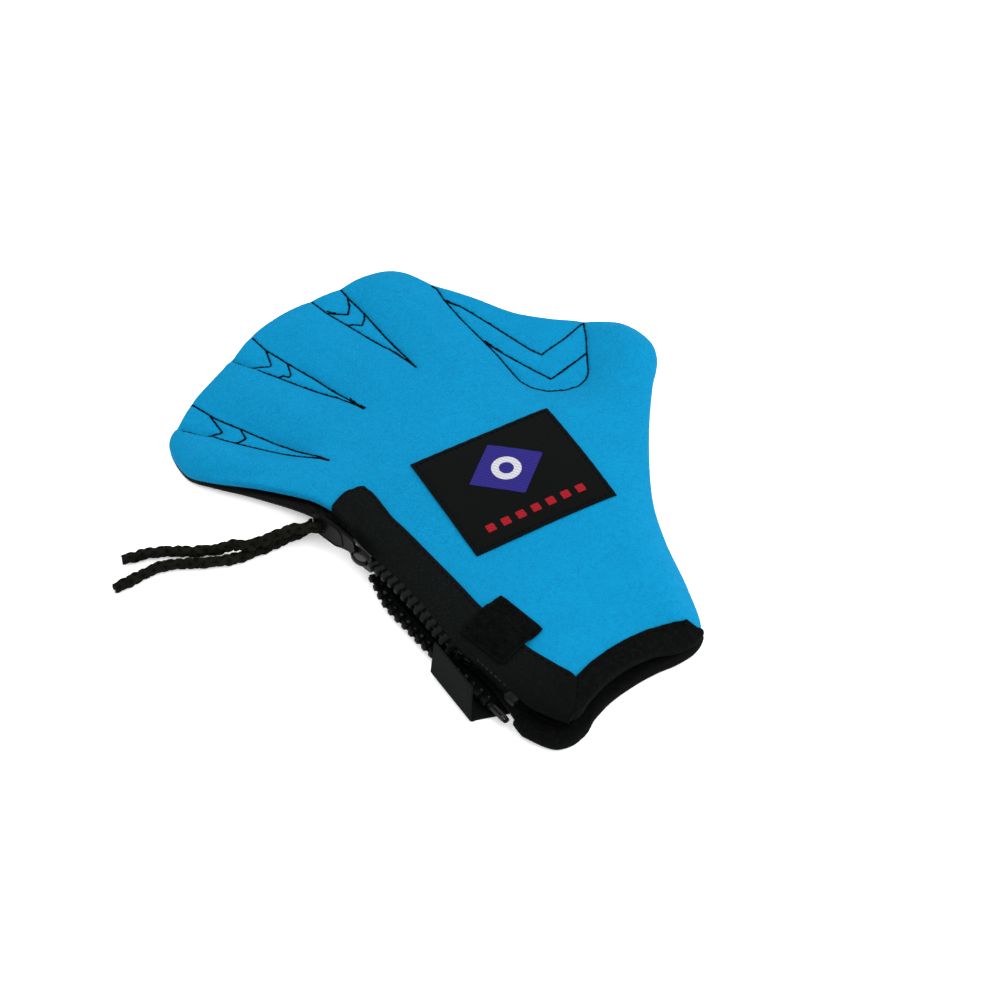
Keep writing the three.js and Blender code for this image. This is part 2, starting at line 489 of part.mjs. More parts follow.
// the space of a panel's edge, kept free inside the fold
function filled(stations, faces, width, grow) {
  const line = (s, k) => [1.25].concat(DEPTHS).map((f) => {
    const d = f * width(s);
    return new THREE.Vector3(s.x + s.nx * (d + 0.02), s.y + s.ny * (d + 0.02), faces(s, d)[k] + (k ? -grow : grow));
  }).concat(new THREE.Vector3(s.x - s.nx * grow, s.y - s.ny * grow, faces(s, 0)[k] + (k ? -grow : grow) * 0.25));
  return plate(stations.map((s) => line(s, 0)), stations.map((s) => line(s, 1)));
}
const N = RIM.length, ROW = Object.fromEntries(RIM.map((r, i) => [r.name, i]));
const BIND_STEP = 0.5;
const upStations = rimStations(BACK_RIM, ROW.wrist_corner_end - 0.4, N + 0.8, BIND_STEP);
const lowStations = rimStations(PALM_RIM, ROW.wrist_corner_side - 0.4, N + 0.8, BIND_STEP);
const bindWidth = (s) => {
  const r = s.row > 3 ? s.row : s.row + N; // the corner's own rows carry on after the last
  return BIND.width * mix(1, 0.62, smooth(N - 1.6, N + 0.4, r)) * mix(1, 0.15, smooth(N - 0.35, N + 0.75, r)); // it runs out at the thumb corner
};
const withEnds = (stations) => {
  const push = (s, t, k) => ({ ...s, x: s.x + (s.x - t.x) * k, y: s.y + (s.y - t.y) * k }), n = stations.length;
  return [push(stations[0], stations[1], 0.4), ...stations, push(stations[n - 1], stations[n - 2], 0.4)];
};
const outerGrow = GAP + BIND.thick;
let binding = solid(folded(upStations, backFaces, bindWidth, GAP, outerGrow)).add(solid(folded(lowStations, palmFaces, bindWidth, GAP, outerGrow)));
for (const [stations, faces] of [[upStations, backFaces], [lowStations, palmFaces]])
  binding = binding.subtract(solid(filled(withEnds(stations), faces, bindWidth, GAP * 0.97)));
const prism = (points, z0, z1) => {
  const g = new THREE.ExtrudeGeometry(new THREE.Shape(points.map((p) => new THREE.Vector2(p[0], p[1]))), { depth: z1 - z0, bevelEnabled: false });
  g.translate(0, 0, z0);
  return solid(g);
};
// the upper run stops at the inner edge of the zip tape
binding = binding.subtract(prism([[-20.4, -94.2], [-15.7, -102.9], [-18.8, -109.9], [-22.9, -117.2], [-24.6, -121], [-45, -121], [-45, -94.2]], 8.2, 40));
for (const n of ["back_panel", "palm_panel"])
  for (const dz of [0.25, 0, -0.25]) binding = binding.subtract(solid(glove.getObjectByName(n).geometry).translate([0, 0, dz]));
add("wrist_binding", fromSolid(largest(binding)), COLOUR.black);

// ---- zip tapes ----
function dipAt(rows, row) {
  const i = Math.min(rows.length - 2, Math.floor(row));
  return THREE.MathUtils.degToRad(mix(rows[i].dip, rows[i + 1].dip, row - i));
}
function tapeRows(rows, step) {
  const pick = (c1, c2, c3) => new THREE.CatmullRomCurve3(rows.map((r) => new THREE.Vector3(r[c1], r[c2], c3 ? r[c3] : 0)), false, "centripetal");
  const inner = pick("in_x", "in_y"), outer = pick("out_x", "out_y", "out_z"), n = rows.length - 1, out = [];
  const count = Math.round(n / step);
  for (let k = 0; k <= count; k++) out.push({ a: inner.getPoint(k / count), b: outer.getPoint(k / count), row: (k / count) * n, dip: dipAt(rows, (k / count) * n) });
  return out;
}
function tape(rows, rim, height, across) {
  const stations = tapeRows(rows, 0.45);
  const mid = stations.map((s) => {
    const pts = [];
    let edge = null;
    for (let k = 0; k <= across; k++) {
      const f = k / across, x = mix(s.a.x, s.b.x, f), y = mix(s.a.y, s.b.y, f), r = near(rim, x, y);
      if (r.side > 0 || edge === null) { const z = height(x, y); pts.push(new THREE.Vector3(x, y, z)); if (r.side > 0) edge = { f, z }; else edge = { f, z }; }
      else pts.push(new THREE.Vector3(x, y, mix(edge.z, s.b.z, smooth(0, 1, (f - edge.f) / (1 - edge.f)) * 0.6 + 0.4 * ((f - edge.f) / (1 - edge.f)))));
    }
    return pts;
  });
  const offset = (k) => mid.map((line, i) => line.map((p, j) => {
    const a = mid[Math.max(0, i - 1)][j], b = mid[Math.min(mid.length - 1, i + 1)][j], c = line[Math.max(0, j - 1)], d = line[Math.min(line.length - 1, j + 1)];
    const n = new THREE.Vector3().subVectors(b, a).cross(new THREE.Vector3().subVectors(d, c)).normalize();
    if (n.z < 0) n.negate();
    return p.clone().addScaledVector(n, (k * TAPE) / 2);
  }));
  return { geometry: plate(offset(1), offset(-1)), stations };
}
const upTape = tape(TAPE_UP, BACK_RIM, (x, y) => backOuter(x, y) + LAY + TAPE / 2, 9);
const sliderRoom = new THREE.BoxGeometry(SLIDER.long + 0.8, SLIDER.wide + 0.8, SLIDER.thick + 0.8);
const clear = (g, name, dz) => {
  const panel = solid(glove.getObjectByName(name).geometry);
  return fromSolid(largest(solid(g).subtract(panel.translate([0, 0, dz])).subtract(panel.translate([-0.3, 0, 0])).subtract(solid(sliderFrame(sliderRoom.clone())))));
};
add("zipper_tape_upper", clear(upTape.geometry, "back_panel", 0.3), COLOUR.tape);
const lowTape = tape(TAPE_LOW, PALM_RIM, (x, y) => palmOuter(x, y).z - LAY - TAPE / 2 + 0.05, 8);
add("zipper_tape_lower", clear(lowTape.geometry, "palm_panel", -0.3), COLOUR.tape);

// ---- teeth: moulded blocks joined by a thin core along the tape's edge ----
// each tooth stands out from the tape, and hangs down by the row's dip
const FOLD_DROP = 1.95; // how far below the tape the teeth lie where its edge is folded under
function teeth(rows, from, to) {
  const stations = tapeRows(rows, 0.05).filter((s) => s.row >= from && s.row <= to), line = stations.map((s) => {
    const out = new THREE.Vector3().subVectors(s.b, s.a).setZ(0).normalize();
    return s.b.clone().addScaledVector(out, GAP + 0.25 + (TOOTH.wide / 2) * Math.cos(s.dip) + (TOOTH.high / 2) * Math.sin(s.dip)).add(new THREE.Vector3(0, 0, -(TOOTH.wide / 2) * Math.sin(s.dip) - FOLD_DROP * (1 - Math.cos(s.dip)) / 2));
  });
  const curve = new THREE.CatmullRomCurve3(line, false, "centripetal"), length = curve.getLength(), n = Math.round(length / TOOTH.pitch), list = [];
  for (let k = 0; k <= n; k++) {
    const p = curve.getPointAt(k / n), t = curve.getTangentAt(k / n), side = new THREE.Vector3(-t.y, t.x, 0).normalize(), up = new THREE.Vector3().crossVectors(side, t).normalize();
    if (up.z < 0) up.negate();
    const at = Math.min(stations.length - 1, Math.round(curve.getUtoTmapping(k / n) * (stations.length - 1))), dip = stations[at].dip;
    const across = side.clone().negate().multiplyScalar(Math.cos(dip)).addScaledVector(up, -Math.sin(dip)), lift = up.clone().multiplyScalar(Math.cos(dip)).addScaledVector(side, -Math.sin(dip));
    const shape = new THREE.Shape(), l = TOOTH.long / 2, w = TOOTH.wide / 2;
    shape.moveTo(-w, -l * 0.8); shape.lineTo(w * 0.55, -l * 0.9); shape.lineTo(w, -l * 0.5); shape.lineTo(w, l * 0.5); shape.lineTo(w * 0.55, l * 0.9); shape.lineTo(-w, l * 0.8); shape.closePath();
    const g = new THREE.ExtrudeGeometry(shape, { depth: TOOTH.high, bevelEnabled: false });
    g.translate(0, 0, -TOOTH.high / 2);
    g.applyMatrix4(new THREE.Matrix4().makeBasis(across, t, lift).setPosition(p));
    list.push(g);
  }
  const core = new THREE.Shape();
  core.absellipse(0, 0, 0.7, 0.7, 0, Math.PI * 2);
  list.push(new THREE.ExtrudeGeometry(core, { steps: Math.round(n * 1.5), bevelEnabled: false, curveSegments: 2, extrudePath: curve }));
  return { geometry: fromSolid(largest(union(list))), curve, last: stations[stations.length - 1], before: stations[stations.length - 2] };
}
const upTeeth = teeth(TAPE_UP, TEETH_FROM, TEETH_TO);
add("zipper_teeth_upper", upTeeth.geometry, COLOUR.teeth, 0.45);
const lowTeeth = teeth(TAPE_LOW, LOW_FROM, LOW_TO);
add("zipper_teeth_lower", lowTeeth.geometry, COLOUR.teeth, 0.45);

// ---- end stops ----
function block(row, edge, t0, long, wide, high) {
  const onEdge = () => { // beside the tape's edge, whichever way the teeth are turned
    const { last, before } = row, out = new THREE.Vector3().subVectors(last.b, last.a).setZ(0).normalize();
    return [last.b.clone().addScaledVector(out, GAP + 0.25 + wide / 2), new THREE.Vector3().subVectors(last.b, before.b).normalize()];
  };
  const [p, t] = edge ? onEdge() : [row.curve.getPointAt(1), row.curve.getTangentAt(1)], g = new THREE.BoxGeometry(wide, long, high);
  const side = new THREE.Vector3(-t.y, t.x, 0).normalize(), up = new THREE.Vector3().crossVectors(side, t).normalize();
  if (up.z < 0) { up.negate(); side.negate(); }
  const m = new THREE.Matrix4().makeBasis(side, t, up);
  if (m.determinant() < 0) m.makeBasis(side.clone().negate(), t, up);
  g.applyMatrix4(m.setPosition(p.clone().addScaledVector(t, t0 + long / 2)));
  return g;
}
add("stop_upper", block(upTeeth, true, 2.5, 5.2, 3.4, 3.2), COLOUR.teeth, 0.4);
add("stop_lower", block(lowTeeth, false, 1.9, 10.4, 3.2, 2.6), COLOUR.teeth, 0.4);

// ---- slider: two plates joined by a neck, with a bail on the outer one ----
function sliderFrame(g) {
  const a = new THREE.Vector3(Math.cos(SLIDER_AT.turn), Math.sin(SLIDER_AT.turn), 0), up = new THREE.Vector3(0, 0, 1), out = new THREE.Vector3().crossVectors(a, up);
  g.applyMatrix4(new THREE.Matrix4().makeBasis(a, up, out).setPosition(SLIDER_AT.x, SLIDER_AT.y, SLIDER_AT.z));
  return g;
}
function sliderPlate(from, depth, wide) {
  const l = SLIDER.long / 2, w = wide / 2, s = new THREE.Shape();
  s.moveTo(-l, -w * 0.55); s.lineTo(-l * 0.55, -w * 0.78); s.lineTo(l * 0.35, -w); s.lineTo(l * 0.8, -w * 0.86); s.lineTo(l, -w * 0.45);
  s.lineTo(l, w * 0.45); s.lineTo(l * 0.8, w * 0.86); s.lineTo(l * 0.35, w); s.lineTo(-l * 0.55, w * 0.78); s.lineTo(-l, w * 0.55); s.closePath();
  const g = new THREE.ExtrudeGeometry(s, { depth, bevelEnabled: false });
  g.translate(0, 0, from);
  return g;
}
const half = SLIDER.thick / 2;
const neck = new THREE.BoxGeometry(3.4, 2, SLIDER.thick - 0.4);
neck.translate(SLIDER.long / 2 - 2.6, 0, 0);
const archOutline = (grow) => Array.from({ length: 11 }, (_, k) => {
  const t = Math.PI * (1 - k / 10), mid = (BRIDGE.from + BRIDGE.to) / 2, a = (BRIDGE.to - BRIDGE.from) / 2 - grow, h = BRIDGE.high - grow;
  return new THREE.Vector2(mid + a * Math.cos(t), h * Math.sin(t));
});
const bailShape = new THREE.Shape([new THREE.Vector2(BRIDGE.from, -0.7), ...archOutline(0), new THREE.Vector2(BRIDGE.to, -0.7), new THREE.Vector2(BRIDGE.to - BRIDGE.rod, -0.7),
  ...archOutline(BRIDGE.rod).reverse(), new THREE.Vector2(BRIDGE.from + BRIDGE.rod, -0.7)]); // an arch with its feet in the outer plate
const bail = new THREE.ExtrudeGeometry(bailShape, { depth: BRIDGE.wide, bevelEnabled: false });
bail.rotateX(Math.PI / 2); bail.translate(0, BRIDGE.wide / 2, half - 0.1);
const sliderSolid = union([sliderPlate(half - SLIDER.plate, SLIDER.plate, SLIDER.wide), sliderPlate(-half, SLIDER.plate, SLIDER.wide * 0.62), neck, bail].map(sliderFrame));

// ---- puller: a flat tab leaning on the side wall, with an eye at its finger end ----
const pu = new THREE.Vector3(PULLER_AT.ux, PULLER_AT.uy, PULLER_AT.uz).normalize(), pout = new THREE.Vector3(PULLER_AT.uy, -PULLER_AT.ux, 0).normalize();
const pwRough = pout.clone().multiplyScalar(-PULLER_AT.lean).setZ(PULLER.wide), pw = pwRough.addScaledVector(pu, -pwRough.dot(pu)).normalize(), pn = new THREE.Vector3().crossVectors(pu, pw).normalize();
function tab() {
  const L = PULLER.long, W = PULLER.wide, s = new THREE.Shape();
  s.moveTo(2, 0); s.lineTo(L * 0.7, 0.2); s.lineTo(L - 1.4, W * 0.16); s.lineTo(L, W * 0.3); s.lineTo(L, W * 0.78); s.lineTo(L - 0.8, W * 0.9); s.lineTo(L - 2.4, W - 0.2); s.lineTo(4.6, W); s.lineTo(2.2, W - 0.9); s.lineTo(0.6, W - 3); s.lineTo(0, W - 5); s.lineTo(0, 2.4); s.lineTo(0.6, 0.8); s.closePath();
  const eye = new THREE.Path();
  eye.absellipse(4.9, W / 2, PULLER.eye, PULLER.eye + 0.3, 0, Math.PI * 2, true);
  s.holes.push(eye);
  const g = new THREE.ExtrudeGeometry(s, { depth: PULLER.thick, bevelEnabled: false, curveSegments: 6 });
  g.applyMatrix4(new THREE.Matrix4().makeBasis(pu, pw, pn).setPosition(PULLER_AT.x, PULLER_AT.y, PULLER_AT.z).multiply(new THREE.Matrix4().makeTranslation(0, 0, pn.dot(pout) > 0 ? -PULLER.thick : 0)));
  return g;
}
const tabSolid = solid(tab());
add("zipper_slider", fromSolid(largest(sliderSolid)), COLOUR.teeth, 0.4);
add("puller_tab", fromSolid(tabSolid), COLOUR.teeth, 0.4);

// ---- cord legs ----
function leg(rows) {
  const curve = new THREE.CatmullRomCurve3(rows.map((r) => new THREE.Vector3(r.x, r.y, r.z)), false, "centripetal"), s = new THREE.Shape();
  s.absellipse(0, 0, CORD / 2, CORD / 2, 0, Math.PI * 2);
  return new THREE.ExtrudeGeometry(s, { steps: 22, bevelEnabled: false, curveSegments: 4, extrudePath: curve });
}
add("pull_cord_a", leg(LEG_A), COLOUR.black);
add("pull_cord_b", leg(LEG_B), COLOUR.black);

// ---- strap: along the floor from under the palm, round a bend and up beside the zip ----
{
  const out = new THREE.Vector3(STRAP_AT.uy, -STRAP_AT.ux, 0), u = new THREE.Vector3(STRAP_AT.ux, STRAP_AT.uy, 0), r = STRAP.bend - STRAP.thick / 2;
  const profile = []; // distance outward from the bend's outer face, height, and the direction of the strap
  for (const k of [0, 0.5, 1]) profile.push([mix(-STRAP.run, -STRAP.bend, k), STRAP.thick / 2, 0]);
  for (let k = 1; k <= 5; k++) { const a = (k / 5) * 1.5; profile.push([-STRAP.bend + Math.sin(a) * r, STRAP.thick / 2 + (1 - Math.cos(a)) * r, a]); }
  const last = profile[profile.length - 1];
  for (const k of [0.3, 0.65, 1]) { const rise = (STRAP.high - last[1]) * k; profile.push([last[0] - STRAP.lean * k, last[1] + rise, 1.56 + 0.08 * k]); }
  const grid = (side) => [0, 0.33, 0.67, 1].map((f) => profile.map(([o, z, a]) => {
    const p = new THREE.Vector3(STRAP_AT.x, STRAP_AT.y, 0).addScaledVector(u, f * (STRAP.wide + STRAP.flare * (1 - z / STRAP.high)) + STRAP.skew * Math.max(0, -STRAP.bend - o));
    return p.addScaledVector(out, o + side * Math.sin(a) * STRAP.thick / 2).setZ(z - side * Math.cos(a) * STRAP.thick / 2);
  }));
  add("hook_strap", plate(grid(1), grid(-1)), COLOUR.strap, 0.6);
}

// ---- loop patch over the tape and woven label, both laid on the back's outer face ----
function laid(cx, cy, wide, high, turn, steps, lay, thick) {
  const c = Math.cos(turn), s = Math.sin(turn), grid = (up) => Array.from({ length: steps[0] + 1 }, (_, i) => Array.from({ length: steps[1] + 1 }, (_, j) => {
    const u = (i / steps[0] - 0.5) * wide, v = (j / steps[1] - 0.5) * high, x = cx + u * c - v * s, y = cy + u * s + v * c;
    return new THREE.Vector3(x, y, lay(x, y) + (up ? thick : 0));
  }));
  return plate(grid(true), grid(false));
}
// over the tape the patch rides one layer higher, and slopes down to the sheet beside it
function overTape(x, y) {
  let d = 1e9;
  const s = upTape.stations;
  for (let i = 0; i < s.length - 1; i++) d = Math.min(d, segDistance(x, y, s[i].a.x, s[i].a.y, s[i + 1].a.x, s[i + 1].a.y));
  const over = inside(s.map((q) => q.a).concat(s.map((q) => q.b).reverse()), x, y);
  return backOuter(x, y) + LAY + 0.1 + (TAPE + GAP + 0.2) * (over ? 1 : 1 - smooth(1.5, 4.5, d));
}
add("loop_patch", laid(PATCH_AT.x, PATCH_AT.y, PATCH.side, PATCH.side, PATCH_AT.turn, [8, 8], overTape, PATCH.thick), COLOUR.black, 1);
add("label_patch", laid(LABEL_AT.x, LABEL_AT.y, LABEL.wide, LABEL.high, LABEL.turn, [9, 8], (x, y) => backOuter(x, y) + LAY, LABEL.thick), COLOUR.label, 0.8);

// the origin is under the middle of the glove, its cord left aside, at the floor
const box = new THREE.Box3(), middle = new THREE.Vector3();
for (const m of glove.children) if (!m.name.startsWith("pull_cord")) box.expandByObject(m);
box.getCenter(middle);
glove.position.set(-middle.x, -middle.y, -box.min.z);
export default glove;
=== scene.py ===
"""A webbed neoprene swim glove for the left hand, lying palm down with its wrist zip partly open.

Tables are in the glove frame of the CAD source, in millimetres: +Y to the fingertips, +X to the thumb, +Z up.
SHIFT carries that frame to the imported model's, and every mesh is turned to metres as it is made.
"""
import math

import bpy
import numpy as np
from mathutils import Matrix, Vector
from mathutils.geometry import delaunay_2d_cdt


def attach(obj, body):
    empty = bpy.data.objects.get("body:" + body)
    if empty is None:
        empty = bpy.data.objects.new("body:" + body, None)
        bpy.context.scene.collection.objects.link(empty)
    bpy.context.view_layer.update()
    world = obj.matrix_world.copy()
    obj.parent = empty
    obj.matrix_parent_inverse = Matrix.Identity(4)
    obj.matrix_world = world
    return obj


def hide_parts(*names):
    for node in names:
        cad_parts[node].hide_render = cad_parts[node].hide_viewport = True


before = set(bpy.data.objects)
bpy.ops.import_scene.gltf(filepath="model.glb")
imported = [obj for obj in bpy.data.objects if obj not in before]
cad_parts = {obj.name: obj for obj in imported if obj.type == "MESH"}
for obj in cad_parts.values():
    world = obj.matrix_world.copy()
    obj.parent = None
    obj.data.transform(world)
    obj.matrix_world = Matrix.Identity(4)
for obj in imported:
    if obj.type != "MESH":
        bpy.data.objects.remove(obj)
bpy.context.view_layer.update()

SHIFT = np.array([10.1, -9.4374, 0.0])
MM = 0.001
RNG = np.random.default_rng(11)

# ---------------------------------------------------------------- tables shared with the CAD source
SHEET, GAP, LAY, CURL, WEB_SOFT, TAPE = 3.0, 0.3, 0.5, 9.0, 24.0, 0.8
RIM_COLS = ("x", "y", "out", "wall", "bow", "shelf", "lift", "soft")
RIM = {
    "wrist_corner_thumb": (36.5, -101.6, 0.6, 0, -4.5, 1.5, 0, 14),
    "wrist_side_thumb": (41.8, -97.6, 0, 0, -4.5, 1.5, 0, 14),
    "thumb_heel_low": (46.8, -78.5, 0, 0, -4.5, 0, 0, 18),
    "thumb_heel": (50.2, -52, 0, 0, -4.5, 0, 0, 20),
    "thumb_heel_high": (55.6, -30.4, 0, 0, -4.5, 0, 0, 20),
    "thumb_side_low": (70.9, 2.3, 0, 0, -4.5, 0, 0, 17),
    "thumb_side": (85.9, 27.5, 0, 0, -4.5, 0, 0, 15),
    "thumb_tip_low": (94.3, 39.5, 0, 0, -4.5, 0, 0, 14),
    "thumb_tip": (96.2, 49.5, 0, 0, -4.5, 0, 0, 13),
    "thumb_tip_high": (90, 63.8, 0, 0, -4.5, 0, 0, 13),
    "thumb_web_start": (74.9, 73.1, 0, 0, -4.5, 0, 0, 13),
    "thumb_web_low": (61.3, 81.4, 0, 0, -4.5, 0, 0, 14),
    "thumb_web": (49, 91.3, 0, 0, -4.5, 0, 0, 14),
    "thumb_web_high": (37.2, 106.6, 0, 0, -4.5, 0, 0, 14),
    "index_web_start": (23.4, 122.7, 0, 0, -4.5, 0, 0, 14),
    "index_tip_low": (14.8, 134.6, 0, 0, -4.5, 0, 0, 14),
    "index_tip": (7.7, 138.8, 0, 0, -4.5, 0, 0, 14),
    "index_tip_high": (-4.3, 139.9, 0, 0, -4.5, 0, 0, 14),
    "web1_near": (-14.9, 137.7, 0, 0, -4.5, 0, 0, 12),
    "web1_far": (-30.1, 136, 0, 0, -4.5, 0, 0, 12),
    "middle_tip": (-45.2, 133.4, 0, 0, -4.5, 0, 0, 14),
    "web2_near": (-61.9, 126.9, 0, 0, -4.5, 0, 0, 12),
    "web2_far": (-73.9, 117.8, 0, 0, -4.5, 0, 0, 12),
    "ring_tip": (-86.4, 109.5, 0, 0, -4.5, 0, 0, 14),
    "web3_near": (-99, 100.7, 0, 0, -4.5, 0, 0, 12),
    "web3_far": (-108.5, 91, 0, 0, -4.5, 0, 0, 10),
    "little_tip_low": (-115.1, 84.3, 0, 0, -4.5, 0, 0, 10),
    "little_tip": (-116.4, 76, 0, 0, -4.5, 0, 0, 10),
    "little_tip_high": (-114.4, 63.5, 0, 0.8, -3.8, 0, 0, 11),
    "little_side_far": (-106.8, 54, 0, 3, -1.5, 0, 0, 12),
    "little_side": (-91.6, 40.2, 0, 6.5, 2, 0, 0, 13),
    "little_side_near": (-74.4, 22.4, 0.4, 9.6, 4.4, 0, 0, 13),
    "zip_end": (-69.6, 13.6, 0.3, 10.2, 4, 0.6, 0.4, 13),
    "zip_top": (-64.9, 4, 0.8, 5.6, 1, 1.2, 2.4, 13),
    "slider": (-59.4, -8, 0.8, 0.3, -4.3, 1.4, 5.8, 12),
    "zip_fingers": (-56, -19, 3.4, 0, -4.5, 1.4, 6, 12),
    "zip_upper": (-51.8, -36, 5.6, 0, -4.5, 1.4, 6.4, 13),
    "zip_middle": (-48, -52, 5.6, 0, -4.5, 1.5, 6.4, 13),
    "zip_lower": (-45, -66, 5, 0, -4.5, 3.1, 4.8, 13),
    "zip_wrist": (-40, -82, 5.2, 0, -4.5, 3.1, 4.8, 14),
    "zip_open_end": (-36.6, -95, 6.4, 0, -4.5, 3.1, 4.8, 15),
    "wrist_corner_side": (-32.6, -105.5, 9.4, 0, -4.5, 2.4, 5.6, 18),
    "wrist_corner_little": (-27.6, -114, 7.2, 0, -4.5, 1.5, 6.2, 20),
    "wrist_corner_end": (-22.6, -115.8, 3.4, 0, -4.5, 1.5, 6.8, 22),
    "wrist_little": (-15.5, -111.8, 2.4, 0, -4.5, 1.5, 7.3, 24),
    "wrist_inner": (-5.5, -107.2, 2.2, 0, -4.5, 1.5, 7.8, 26),
    "wrist_middle": (6.5, -104, 2.2, 0, -4.5, 1.5, 7.4, 26),
    "wrist_outer": (18, -102.6, 2, 0, -4.5, 1.5, 5.4, 24),
    "wrist_thumb": (27.5, -102.9, 1.4, 0, -4.5, 1.5, 2, 19),
}
ROW = {name: i for i, name in enumerate(RIM)}
HOLLOW = [(-120, 9.4, 7), (-70, 10.4, 7.5), (-10, 9.6, 6.5), (45, 6.4, 5.4), (90, 3.8, 4.6), (140, 2.8, 4)]
FOLDS = [  # x1, y1, x2, y2, wide, rise
    (-99, 66, -64, 33, 15, 2.4), (-112, 66, -104, 82, 5, -1), (-2, 122, 8, 80, 12, 0.8),
    (36, -34, 62, 8, 13, -1), (-22, -74, 30, -66, 15, -0.9), (-38, 24, 6, 6, 24, 1),
]
WEBS = [  # the two sheets are sewn flat together between these lines
    [(-15.3, 139), (-5, 75.9), (-29.9, 137.5)],
    [(-61, 129.5), (-34.8, 63), (-75.6, 119.5)],
    [(-98.5, 103.5), (-59.4, 41.3), (-110.8, 91.8)],
    [(21.9, 126), (25.2, 107.6), (27.8, 90), (31.2, 70.5), (32.8, 58.2), (34.4, 51.2), (37.9, 45.8), (43.4, 41.9), (50.4, 39.9),
     (57.1, 39.8), (62, 42.9), (65, 48.1), (67.6, 55.3), (74.3, 70.8), (74.6, 75.5), (60, 102)],
]
TAPE_UP = [  # in_x, in_y, out_x, out_y, out_z, dip of the teeth
    (-68.6, 13.4, -69.4, 12.4, 14, 0), (-63.2, 16.5, -68.4, 8.6, 13.4, 0), (-57.8, 18.4, -67, 4, 12.2, 0), (-52.8, 18.1, -65.4, -1, 10.8, 0),
    (-49.7, 4.4, -63.8, -7, 10.2, 0), (-48.9, -2, -62.2, -13, 10.6, 0), (-46.7, -10, -60.8, -19, 12.2, 0), (-42, -29.2, -57.3, -32, 13.6, 0),
    (-38.3, -44.6, -53.6, -46.5, 13.9, 12), (-34.9, -59.6, -50.4, -63, 13.9, 26), (-26.8, -82.8, -45, -82, 13.9, 150),
    (-20.8, -94.2, -41.4, -93, 13.7, 150), (-16.2, -102.8, -37.6, -104.5, 13.3, 150), (-19.4, -109.8, -31.6, -112.8, 12.9, 60),
    (-23.6, -116.6, -26.6, -118.2, 12.7, 60),
]
TAPE_LOW = [
    (-51, 1, -62.6, -4, 5.2, 0), (-48.6, -8, -61.8, -11, 5, 0), (-47.4, -17, -61.4, -20, 3.9, 0), (-46.5, -30, -61.2, -32, 3.3, 0),
    (-43.4, -44, -57.9, -46, 3.2, 0), (-40, -58, -54.5, -60, 3.4, 0), (-34.8, -75, -49.3, -76, 3.8, 0), (-30.6, -92, -44.6, -93, 4, 0),
]
TOOTH = {"long": 3.2, "wide": 4.6, "high": 2.4, "pitch": 4.4}
TEETH_ROWS = {"up": (5.55, 11.15), "low": (1.75, 6.85)}
FOLD_DROP = 1.95
SLIDER = {"long": 17, "wide": 10.4, "thick": 5.6, "plate": 1.3}
BRIDGE = {"from": -4.2, "to": 5.4, "high": 3, "rod": 1.2, "wide": 3}
SLIDER_AT = {"x": -64, "y": -7.4, "z": 7.7, "turn": math.atan2(-0.954, 0.3)}
PULLER = {"long": 20.2, "wide": 12, "thick": 1.5, "eye": 3}
PULLER_AT = {"x": -76.5, "y": 16.4, "z": 1.2, "ux": 0.287, "uy": -0.939, "uz": 0.188, "lean": 1}
STRAP = {"wide": 25.4, "thick": 1.5, "bend": 3, "high": 20, "run": 18, "skew": 0.4, "flare": 2, "lean": 2.2}
STRAP_AT = {"x": -61.8, "y": -68.4, "ux": 0.165, "uy": -0.986}
PATCH = {"side": 23.2, "thick": 1.8, "x": -32.4, "y": -71, "turn": 0.37}
LABEL = {"wide": 65.6, "high": 55.7, "thick": 0.7, "x": 4.1, "y": -3.9, "turn": 0.086}
LEG_A = [
    (-73.3, 13.3, 7.9), (-77, 12.4, 8.2), (-80.6, 14, 8.3), (-85, 15.8, 7.9), (-91.2, 16.4, 7.5), (-100.5, 15.9, 7.4), (-106.6, 17.2, 7.2),
    (-110.8, 20.6, 5.5), (-115.5, 23.1, 2.7), (-121, 24.9, 2.4), (-126.6, 27.2, 2.3), (-139, 32.6, 2.3), (-152.8, 34.8, 2.3),
]
LEG_B = [
    (-80.5, 17.4, 2.5), (-84.6, 17.2, 2.3), (-91, 16.8, 2.3), (-101.2, 16, 2.3), (-111.8, 16.2, 2.3), (-123.4, 19.4, 2.3),
    (-132.9, 23.1, 2.3), (-141.8, 24.9, 2.3), (-151.7, 23.4, 2.3), (-160.4, 22.4, 2.3),
]

